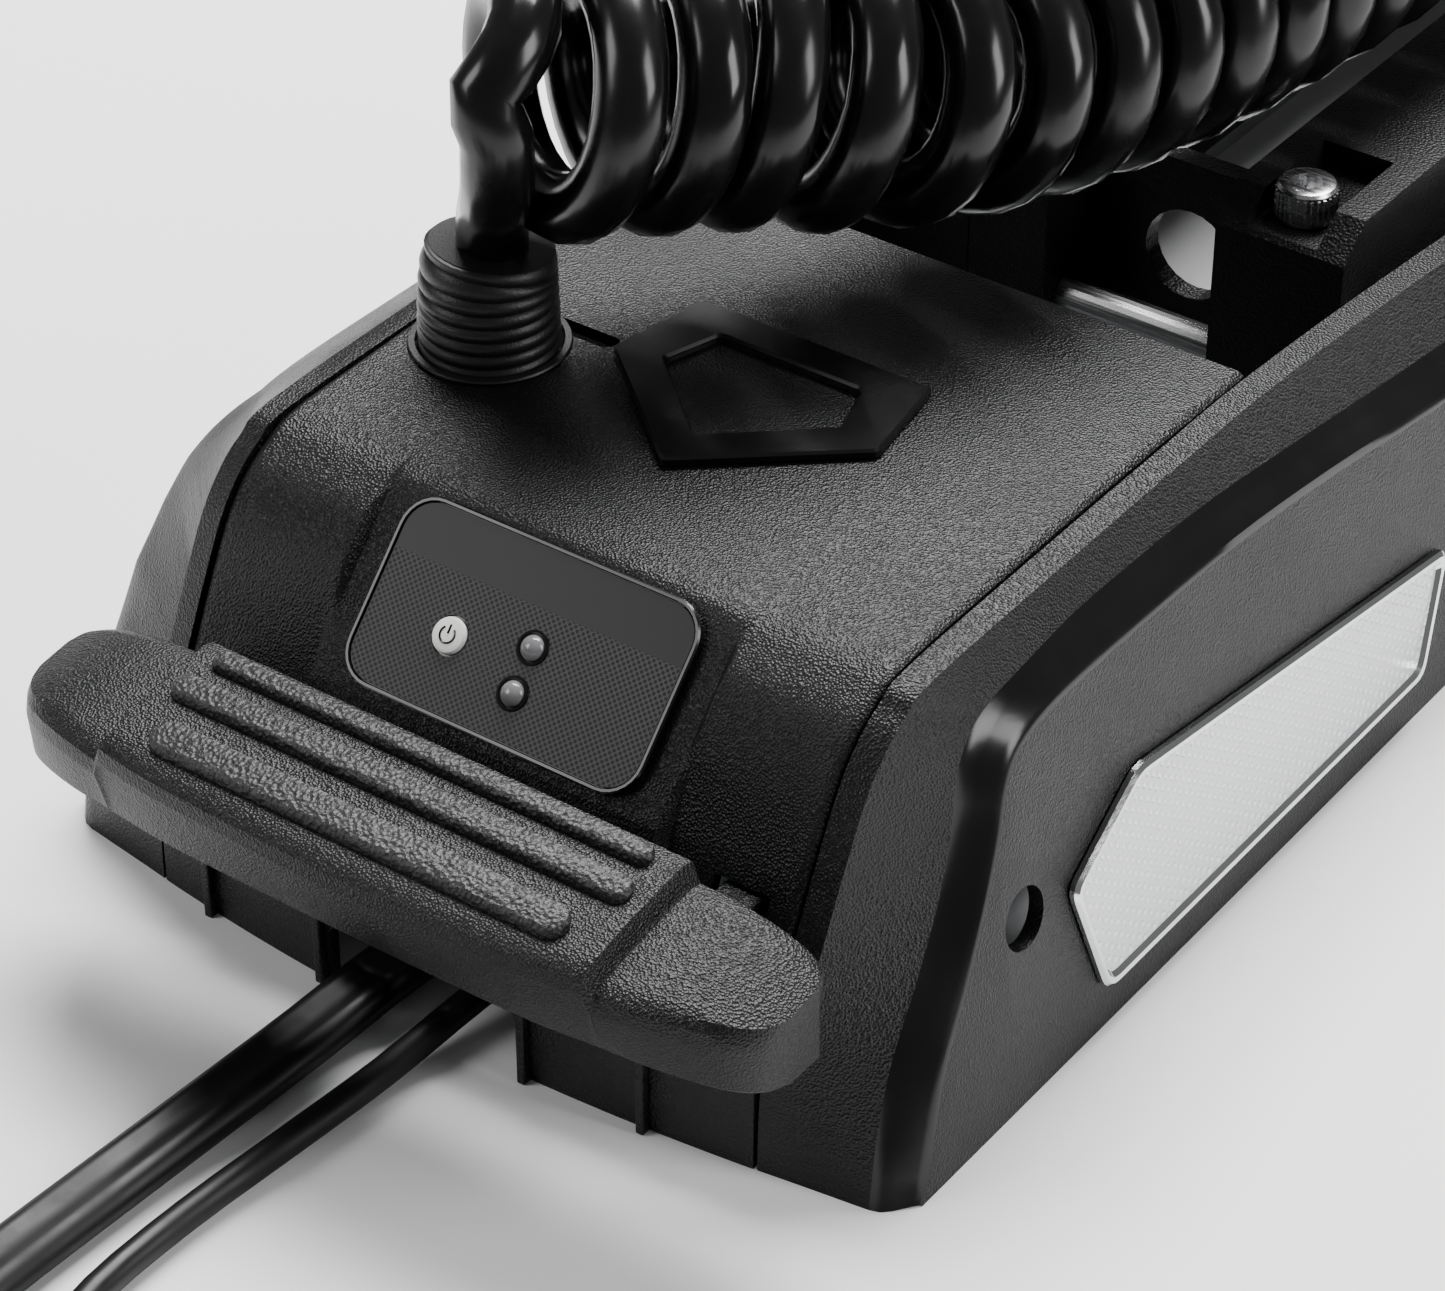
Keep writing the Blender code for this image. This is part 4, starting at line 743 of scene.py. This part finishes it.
def control_panel():
    """The overlay in its glossy lip, with a hole for the button, and the lenses."""
    middle = (0.0, PANEL_LENGTH / 2)

    def ring(by, out):
        outline = rounded(PANEL_HALF_WIDTH - by, PANEL_LENGTH / 2 - by, PANEL_CORNER - by, middle, 7)
        return [on_panel(x, u, out) for x, u in outline]

    edge = [(0.0, -0.0012), (0.0, 0.0001), (0.0003, 0.0005)]
    edge += [(0.0008, 0.0005), (0.0010, 0.0), (0.0010, -0.0004)]
    lip = loft_mesh([ring(*step) for step in edge])
    show("panel_lip", lip, "gloss_black", replaces=["control_panel"], angle=25)
    holes = [bar_mesh(on_panel(*BUTTON_AT, -0.01), on_panel(*BUTTON_AT, 0.01), 0.0039)]
    face = cut(loft_mesh([ring(0.0011, -0.0003), ring(0.0011, 0.0), ring(0.0012, 0.0001)]), *holes)
    show("panel_face", face, "panel", slot="gloss_black", angle=25)
    dome = [(0.0, 0.0016), (0.0008, 0.00155), (0.0016, 0.0012), (0.0022, 0.0006)]
    dome += [(0.0025, 0.0), (0.0025, -0.0010), (0.0, -0.0010)]
    bezel = [(0.0025, 0.0002), (0.0029, 0.0004), (0.0033, 0.0003), (0.0034, 0.00005)]
    bezel += [(0.0025, 0.00005)]
    for name, at in LENSES_AT.items():
        lens = spun_mesh(dome, on_panel(*at, 0.0002), PANEL_OUT, 32)
        node = f"status_lens_{name}"
        show(f"lens_{name}", lens, "lens_grey", replaces=[node], angle=40)
        rim = spun_mesh(bezel, on_panel(*at, 0.0001), PANEL_OUT, 32, True)
        show(f"lens_bezel_{name}", rim, "gloss_black", angle=40)


def power_button():
    """A white cap with a dark ring and bar set in its face."""
    cap = [(0.0, 0.0011), (0.0027, 0.0011), (0.0033, 0.0009), (0.0035, 0.0005)]
    cap += [(0.0035, -0.0060), (0.0, -0.0060)]
    mesh = spun_mesh(cap, on_panel(*BUTTON_AT, 0.0), PANEL_OUT, 48)
    show("power_button_cap", mesh, "white_mark", "button", replaces=["power_button"], angle=30)
    mark = [on_panel(u, v, 0.0011) for u, v in arc(BUTTON_AT, 0.0016, 130, 410, 28)]
    show("power_mark_ring", loft_mesh(tube_rings(mark, 0.00022, 8)), "gloss_black", "button")
    bar = [on_panel(BUTTON_AT[0], BUTTON_AT[1] + up, 0.0011) for up in (0.0002, 0.0011, 0.0020)]
    show("power_mark_bar", loft_mesh(tube_rings(bar, 0.00022, 8)), "gloss_black", "button")


def cover_emblem():
    """A plain raised five-sided ring."""
    outline = [(0.0, 0.064), (0.031, 0.090), (0.027, 0.114), (-0.027, 0.114), (-0.031, 0.090)]
    hole = [(0.0, 0.0745), (0.0205, 0.0925), (0.0165, 0.1055), (-0.0165, 0.1055), (-0.0205, 0.0925)]

    def ring(points, z):
        return [(p.x, p.y, z) for p in filleted([(x, y, 0.0) for x, y in points], 0.0012)]

    rings = [ring(outline, 0.0874), ring(outline, 0.0886), ring(inset(outline, 0.0005), 0.0891)]
    rings += [ring(inset(hole, -0.0005), 0.0891), ring(hole, 0.0886), ring(hole, 0.0874)]
    mesh = loft_mesh(rings + rings[:1], closed_ends=False)
    show("emblem_ring", mesh, "gloss_black", replaces=["cover_emblem"], angle=25)


def fascia_y(x):
    """The rear wall's outer face: bowed backwards in its middle."""
    return FASCIA_MIDDLE_Y + FASCIA_BOW * (x / 0.069) ** 2


def rear_fascia():
    """The bowed rear wall with its cable outlet and stiffening ribs."""
    across = [-0.070 + 0.140 * i / 40 for i in range(41)]
    outer = [(x, fascia_y(x)) for x in across]
    inner = [(x, fascia_y(x) + 0.0025) for x in reversed(across)]
    arch = [(-0.0245, -0.01), (0.0205, -0.01), (0.0205, 0.012)]
    arch += [(0.0165, 0.0185), (-0.0205, 0.0185), (-0.0245, 0.012)]
    mesh = cut(prism_mesh(outer + inner, 0.0, FASCIA_TOP, "Z"), prism_mesh(arch, -0.02, 0.02, "Y"))
    show("fascia_wall", mesh, "moulded_black", replaces=["rear_fascia"], angle=30)
    for i, x in enumerate((-0.0560, -0.0262, 0.0222, 0.0480)):
        y = fascia_y(x)
        rib = box_mesh((x - 0.0009, y - 0.0022, 0.0), (x + 0.0009, y - 0.0001, FASCIA_TOP - 0.0002))
        show(f"fascia_rib_{i}", rib, "moulded_black", bevel=0.0004)


# The stow pedal

def droop(x):
    """How far a wing of the pedal has sunk, out towards its tip."""
    return max(0.0, abs(x) - 0.060) ** 2


def pedal_top(x, y, centre):
    """The height of the pedal's top: a raised middle between two wings."""
    wing = 0.0588 - 8.0 * droop(x)
    back = wing + (0.0630 - wing) * centre
    return back - 0.05 * abs(y) - 3.2 * y * y


def plan_at(half, x):
    """Back edge, front edge and front foot of the pedal at a distance from its middle."""
    for a, b in zip(half, half[1:]):
        if a[0] - 1e-9 <= x <= b[0] + 1e-9:
            t = (x - a[0]) / max(b[0] - a[0], 1e-9)
            return [a[k] + (b[k] - a[k]) * t for k in (1, 2, 3)]
    return [half[-1][k] for k in (1, 2, 3)]


def stow_pedal():
    """The tread with its two wings, and the arms that carry it from the pivot."""
    half = smooth(PEDAL_HALF, 4)
    extra = [0.0540 + 0.0005 * k for k in range(9)]
    xs = sorted({round(p[0], 6) for p in half} | set(extra))
    rings = []
    for x in [-x for x in reversed(xs[1:])] + xs:
        back, front, foot = plan_at(half, abs(x))
        centre = 1.0 - ease(0.0548, 0.0572, abs(x))
        tops = [back + (front - back) * k / 12 for k in range(13)]
        bottom = PEDAL_BOTTOM - 4.5 * droop(x)
        at_back, at_front = pedal_top(x, back, centre), pedal_top(x, front, centre)
        section = [(PEDAL_BACK_FOOT, bottom), (back, at_back - 0.0022), (back - 0.0003, at_back - 0.0008)]
        section += [(y, pedal_top(x, y, centre)) for y in tops[1:-1]]
        section += [(front + 0.0006, at_front - 0.0010), (front, at_front - 0.0038)]
        section += [(foot, bottom + 0.0010), (foot + 0.0010, bottom)]
        rings.append([(x, y, z) for y, z in section])
    mesh = loft_mesh(rings)
    show("pedal_tread", mesh, "moulded_black", "pedal", replaces=["stow_pedal"], angle=30)
    for side, name in ((1, "right"), (-1, "left")):
        ends = sorted((side * (PEDAL_ARM_X - 0.004), side * (PEDAL_ARM_X + 0.004)))
        low, high = 0.0435, 0.0500
        outline = [(-0.012, low), (PEDAL_Y - 0.008, low)]
        outline += arc((PEDAL_Y, PEDAL_Z), 0.0085, 210, 510, 20)
        outline += [(PEDAL_Y - 0.008, high), (-0.012, high)]
        bore = bar_mesh((-0.08, PEDAL_Y, PEDAL_Z), (0.08, PEDAL_Y, PEDAL_Z), 0.0044)
        arm = cut(prism_mesh(outline, *ends), bore)
        show(f"pedal_arm_{name}", arm, "moulded_black", "pedal", bevel=0.0006)


def pedal_grips():
    for name, (y, half, width) in GRIPS.items():
        rings = []
        for by, up in ((0.0, 0.0), (0.0, 0.0012), (0.0004, 0.0018), (0.0009, 0.0020)):
            outline = rounded(half - by, width - by, (width - by) * 0.98, steps=7)
            rings.append([(x, y + dy, pedal_top(0.0, y + dy, 1.0) + up) for x, dy in outline])
        show(f"grip_{name}", loft_mesh(rings), "grip", "pedal", "rubber", [f"pedal_grip_{name}"])


# Curly cord

def strain_relief_boot():
    """A tapered sleeve with close ribs, on a flat collar."""
    route = smooth(BOOT_ROUTE, 70)
    radii = []
    gone = 0.0
    for i, at in enumerate(route):
        gone += (at - route[max(i - 1, 0)]).length
        share = i / (len(route) - 1)
        groove = abs(math.sin(math.pi * gone / BOOT_RIB_PITCH)) ** 0.7
        ribbed = ease(0.012, 0.016, gone)
        radii.append(BOOT_RADIUS * (1.0 - 0.12 * share) - BOOT_RIB_DEPTH * (1.0 - groove) * ribbed)
    rings = tube_rings(route, radii, 40)
    sleeve = loft_mesh(rings)
    show("boot_sleeve", sleeve, "rubber", replaces=["strain_relief_boot"], angle=60)
    x, y, _ = BOOT_ROUTE[0]
    collar = [(0.0146, 0.0870), (0.0158, 0.0870), (0.0160, 0.0873), (0.0158, 0.0877), (0.0146, 0.0878)]
    ring = spun_mesh(collar, Vector((x, y, 0.0)), Vector((0, 0, 1)), 48, True)
    show("boot_collar", ring, "rubber", angle=40)


def helix(route, radius, pitch, start_turn, per_turn=26):
    """A coil about a route, a little narrower in its first and its last half turn."""
    line = smooth(route, 40)
    steps = frames(line)
    lengths = [0.0]
    for a, b in zip(line, line[1:]):
        lengths.append(lengths[-1] + (b - a).length)
    turns = lengths[-1] / pitch
    count = int(turns * per_turn)
    out, k = [], 0
    for i in range(count + 1):
        gone = lengths[-1] * i / count
        while k < len(lengths) - 2 and lengths[k + 1] < gone:
            k += 1
        share = (gone - lengths[k]) / (lengths[k + 1] - lengths[k])
        at = line[k].lerp(line[k + 1], share)
        across, up = steps[k][1], steps[k][2]
        turn = start_turn + 2 * math.pi * i / per_turn
        here = i / per_turn
        opened = 0.8 + 0.2 * ease(0.0, 0.5, here)
        reach = radius * opened * (0.6 + 0.4 * ease(0.0, 0.5, turns - here))
        out.append(at + reach * (across * math.cos(turn) + up * math.sin(turn)))
    return out


def joined(before, after, reach, steps=10):
    """Two runs of a cord with a smooth bend between them."""
    leave = (before[-1] - before[-2]).normalized() * reach
    arrive = (after[1] - after[0]).normalized() * reach
    bend = bezier(before[-1], before[-1] + leave, after[0] - arrive, after[0], steps)
    return before + bend[:-1] + after


def coil_cord():
    """The curly cord from the boot to the mast, then its turns about the mast."""
    low, high = WRAP_Z
    gap = 1.1 * COIL_STRAND
    rise = high - low - 2 * gap
    about = []
    for i in range(int(WRAP_TURNS * WRAP_STEPS) + 1):
        turn = math.radians(-90) + 2 * math.pi * i / WRAP_STEPS
        x, y = WRAP_TURN_RADIUS * math.cos(turn), MAST_Y + WRAP_TURN_RADIUS * math.sin(turn)
        about.append(Vector((x, y, low + gap + rise * i / (WRAP_TURNS * WRAP_STEPS))))
    path = helix(COIL_ROUTE, COIL_TURN_RADIUS, COIL_PITCH, math.radians(-12))
    top = Vector(BOOT_ROUTE[-1])
    path = joined([top - Vector((0.0, 0.0, 0.006)), top - Vector((0.0, 0.0, 0.003))], path, 0.016)
    path = joined(path, [about[0] - Vector((0.008, 0.0, 0.0)), about[0]], 0.018)
    strand = loft_mesh(tube_rings(path, COIL_STRAND, 14))
    item = show("coil_strand", strand, "cable_black", None, replaces=["coil_lead"], angle=60)
    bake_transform(item)
    strand = loft_mesh(tube_rings(about, COIL_STRAND, 14))
    wrap = show("wrap_strand", strand, "cable_black", None, replaces=["coil_wrap"], angle=60)
    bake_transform(wrap)


def bracket_screws():
    """Socket head screws with a knurled side and a hexagon socket."""
    for side, name in ((1, "right"), (-1, "left")):
        x, y = side * SCREW_AT[0], SCREW_AT[1]
        centre = Vector((x, y, 0.0))
        profile = [(0.0, 0.0872), (0.0048, 0.0872), (0.0058, 0.0869)]
        profile += [(SCREW_HEAD_RADIUS, 0.0862), (SCREW_HEAD_RADIUS, 0.0794)]
        profile += [(0.0039, 0.0794), (0.0039, 0.0660), (0.0, 0.0660)]
        head = spun_mesh(profile, centre, Vector((0.0, 0.0, 1.0)), 48)
        socket = [(x + u, y + v) for u, v in arc((0.0, 0.0), SCREW_SOCKET_RADIUS, 0, 300, 5)]
        mesh = cut(head, prism_mesh(socket, 0.0825, 0.10, "Z"))
        node = f"bracket_screw_{name}"
        show(f"{node}_head", mesh, "stainless", replaces=[node], angle=30)
        bm = bmesh.new()
        for k in range(SCREW_KNURLS):
            turn = 2 * math.pi * k / SCREW_KNURLS
            foot = centre + SCREW_HEAD_RADIUS * Vector((math.cos(turn), math.sin(turn), 0.0))
            ends = [foot + Vector((0.0, 0.0, z)) for z in (0.0800, 0.0856)]
            bm.from_mesh(bar_mesh(*ends, 0.00035, 6))
        ridges = finished_mesh(bm)
        show(f"{node}_knurl", ridges, "stainless", angle=40)


# Free leads

def coiled(centre, cells, start, direction, ramp=30.0, shift=35.0, last=300.0):
    """Turns of a lead put away: it keeps to each (radius, height) cell, then moves to the next."""
    points = []
    turn = start
    for k, (radius, height) in enumerate(cells):
        final = k == len(cells) - 1
        sweep = last if final else 360.0 - shift
        steps = int(sweep / 12.0)
        for i in range(steps):
            gone = sweep * i / steps
            share = 0.0 if final else ease(sweep - ramp, sweep, gone)
            after = cells[min(k + 1, len(cells) - 1)]
            r, z = radius + (after[0] - radius) * share, height + (after[1] - height) * share
            angle = math.radians(turn + direction * gone)
            points.append(Vector((centre[0] + r * math.cos(angle), centre[1] + r * math.sin(angle), z)))
        turn += direction * sweep
    return points


def lead_path(route, ring, leave, arrive, plug_at, reach, steps):
    """A lead's centreline in the row frame: along its route, round its coil and into its plug."""
    path = smooth(route, 3)
    path += bezier(path[-1], path[-1] + leave, ring[0] - arrive, ring[0], 4)[:-1]
    path += ring
    ahead = (ring[-1] - ring[-2]).normalized()
    y = plug_at["y"] + plug_at["lead"] * (plug_at["half"] - plug_at["inside"])
    entry = Vector((plug_at["x"], y, plug_at["r"] + PLUG_CLEARANCE))
    outside = entry + Vector((0.0, plug_at["lead"] * reach, 0.0))
    path += bezier(ring[-1], ring[-1] + ahead * reach, outside, entry, steps)
    return [p + Vector((0.0, REAR, 0.0)) for p in path]


def twin_rings(points):
    """Sections of two conductors moulded side by side, lying level."""
    half = [math.radians(a) for a in range(-125, 126, 25)]
    outline = [(CONDUCTOR_RADIUS * (1 + math.cos(a)), CONDUCTOR_RADIUS * math.sin(a)) for a in half]
    outline += [(-u, -v) for u, v in outline]
    rings = []
    for i, at in enumerate(points):
        ahead = (points[min(i + 1, len(points) - 1)] - points[max(i - 1, 0)]).normalized()
        across = Vector((ahead.y, -ahead.x, 0.0)).normalized()
        up = across.cross(ahead)
        rings.append([at + across * u + up * v for u, v in outline])
    return rings


def coil_tie(name, centre, angle, reach, height, thick=0.0008):
    """A strap round the turns of a coil."""
    turn = math.radians(angle)
    out = Vector((math.cos(turn), math.sin(turn), 0.0))
    along = Vector((-out.y, out.x, 0.0))
    middle = Vector((*centre, height / 2)) + out * (reach[0] + reach[1]) / 2
    half = (reach[1] - reach[0]) / 2
    rings = []
    for side, grow in ((-0.005, 0.0), (0.005, 0.0), (0.005, thick), (-0.005, thick)):
        outline = rounded(half + 0.0002 + grow, height / 2 - 0.0001 + grow * 0.2, 0.003, steps=4)
        rings.append([middle + along * side + out * u + Vector((0, 0, v)) for u, v in outline])
    mesh = loft_mesh(rings + rings[:1], closed_ends=False)
    return show(name, mesh, "rubber", angle=40)


def plug(name, at, node):
    """A waisted moulded plug with finger ribs, contacts at its far end and a sleeve at the lead."""
    r, half = at["r"], at["half"]
    profile = [(0.0, -half), (0.62 * r, -half), (0.70 * r, -half + 0.1 * r), (0.70 * r, -0.45 * half)]
    profile += [(0.96 * r, -0.38 * half), (1.0 * r, -0.30 * half)]
    for k in range(5):
        base = -0.25 * half + 0.16 * half * k
        profile += [(1.0 * r, base), (0.92 * r, base + 0.03 * half)]
        profile += [(0.92 * r, base + 0.09 * half), (1.0 * r, base + 0.12 * half)]
    profile += [(0.95 * r, 0.60 * half), (0.60 * r, 0.80 * half), (0.50 * r, half), (0.0, half)]
    centre = Vector((at["x"], at["y"], r + PLUG_CLEARANCE))
    body = spun_mesh(profile, centre, Vector((0, at["lead"], 0)), 40)
    pieces = [show(name, body, "moulded_black", replaces=[node])]
    for i, side in enumerate((-1, 1)):
        at_pin = centre + Vector((side * 0.3 * r, -at["lead"] * half * 0.98, 0.0))
        pin = bar_mesh(at_pin, at_pin + Vector((0.0, at["lead"] * 0.3 * r, 0.0)), 0.14 * r, 20)
        pieces.append(show(f"{name}_contact_{i}", pin, "bronze", bevel=0.0001))
    return pieces


def power_lead():
    """The flat twin lead, put away in a coil of three turns, one on another."""
    cells = [(POWER_COIL["radius"], z) for z in POWER_COIL["layers"]]
    ring = coiled(POWER_COIL["centre"], cells, 60.0, -1.0, last=225.0)
    leave, arrive = Vector((0.0012, -0.008, 0.0)), Vector((0.007, -0.0040, 0.0))
    path = lead_path(POWER_ROUTE, ring, leave, arrive, POWER_PLUG, 0.036, 12)
    nodes = ["power_cable", "power_coil"]
    twin = loft_mesh(twin_rings(path))
    item = show("power_lead", twin, "lead_jacket", "mount", "cable_black", nodes, angle=50, lift=False)
    tie = coil_tie("power_coil_tie", POWER_COIL["centre"], 200.0, (0.0630, 0.0770), 0.0212)
    parts = plug("power_connector", POWER_PLUG, "power_plug")


def network_lead():
    """The round lead, put away in a coil of six turns, three on each of two layers."""
    outer, middle, inner = NETWORK_COIL["radii"]
    low, high = NETWORK_COIL["layers"]
    cells = [(outer, low), (outer, high), (middle, high), (middle, low), (inner, low), (inner, high)]
    ring = coiled(NETWORK_COIL["centre"], cells, 210.0, 1.0, last=230.0)
    leave, arrive = Vector((0.0035, -0.008, 0.0)), Vector((0.0045, -0.008, 0.0))
    path = lead_path(NETWORK_ROUTE, ring, leave, arrive, NETWORK_PLUG, 0.011, 8)
    nodes = ["network_cable", "network_coil"]
    cord = loft_mesh(tube_rings(path, NETWORK_RADIUS, 14))
    item = show("network_lead", cord, "lead_jacket", "mount", "cable_black", nodes, angle=50, lift=False)
    tie = coil_tie("network_coil_tie", NETWORK_COIL["centre"], 90.0, (0.0235, 0.0425), 0.0128)
    parts = plug("network_connector", NETWORK_PLUG, "network_plug")


# Light, floor and camera

def stage():
    """A pale slab to stand on, and the ground far below it."""
    for name, low, high in (
        ("deck_slab", (-1.2, -2.0, -0.030), (0.8, 0.585, 0.0)),
        ("ground", (-3.0, -3.0, -1.30), (3.0, 4.0, -1.25)),
    ):
        item = placed(name, box_mesh(low, high), "floor")


def light(name, at, target, size, watts):
    lamp = bpy.data.lights.new(name, "AREA")
    lamp.shape = "RECTANGLE"
    lamp.size, lamp.size_y = size
    lamp.energy = watts
    item = bpy.data.objects.new(name, lamp)
    item.location = at
    item.rotation_euler = (Vector(target) - Vector(at)).to_track_quat("-Z", "Y").to_euler()
    bpy.context.scene.collection.objects.link(item)


def lights():
    world = bpy.data.worlds.new("studio")
    world.use_nodes = True
    background = world.node_tree.nodes["Background"]
    background.inputs["Color"].default_value = (1.0, 1.0, 1.0, 1.0)
    background.inputs["Strength"].default_value = 0.19
    bpy.context.scene.world = world
    light("overhead", (-0.35, 0.55, 1.30), (0.0, -0.20, 0.08), (1.1, 0.7), 70.0)
    light("right_side", (1.30, 0.10, 0.75), (0.05, -0.20, 0.05), (0.5, 0.9), 16.0)
    light("rear_left", (-0.9, -1.2, 0.9), (0.0, -0.25, 0.05), (0.6, 0.6), 9.0)


def camera():
    up = CAMERA_BACK.cross(CAMERA_RIGHT)
    turn = Matrix((CAMERA_RIGHT, up, CAMERA_BACK)).transposed().to_4x4()
    lens = bpy.data.cameras.new("camera")
    lens.lens = FOCAL_LENGTH_MM
    lens.sensor_width = SENSOR_WIDTH_MM
    lens.clip_start = 0.05
    item = bpy.data.objects.new("camera", lens)
    item.matrix_world = Matrix.Translation(CAMERA_AT) @ turn
    bpy.context.scene.collection.objects.link(item)
    bpy.context.scene.camera = item


camera()
lights()
stage()
dress_frame()
power_lead()
network_lead()
coil_cord()
strain_relief_boot()
centre_cover()
for side, name in ((1, "right"), (-1, "left")):
    side_plate(side, f"side_plate_{name}")
    badge(side, f"badge_{name}")
control_panel()
power_button()
cover_emblem()
rear_fascia()
stow_pedal()
pedal_grips()
bracket_screws()
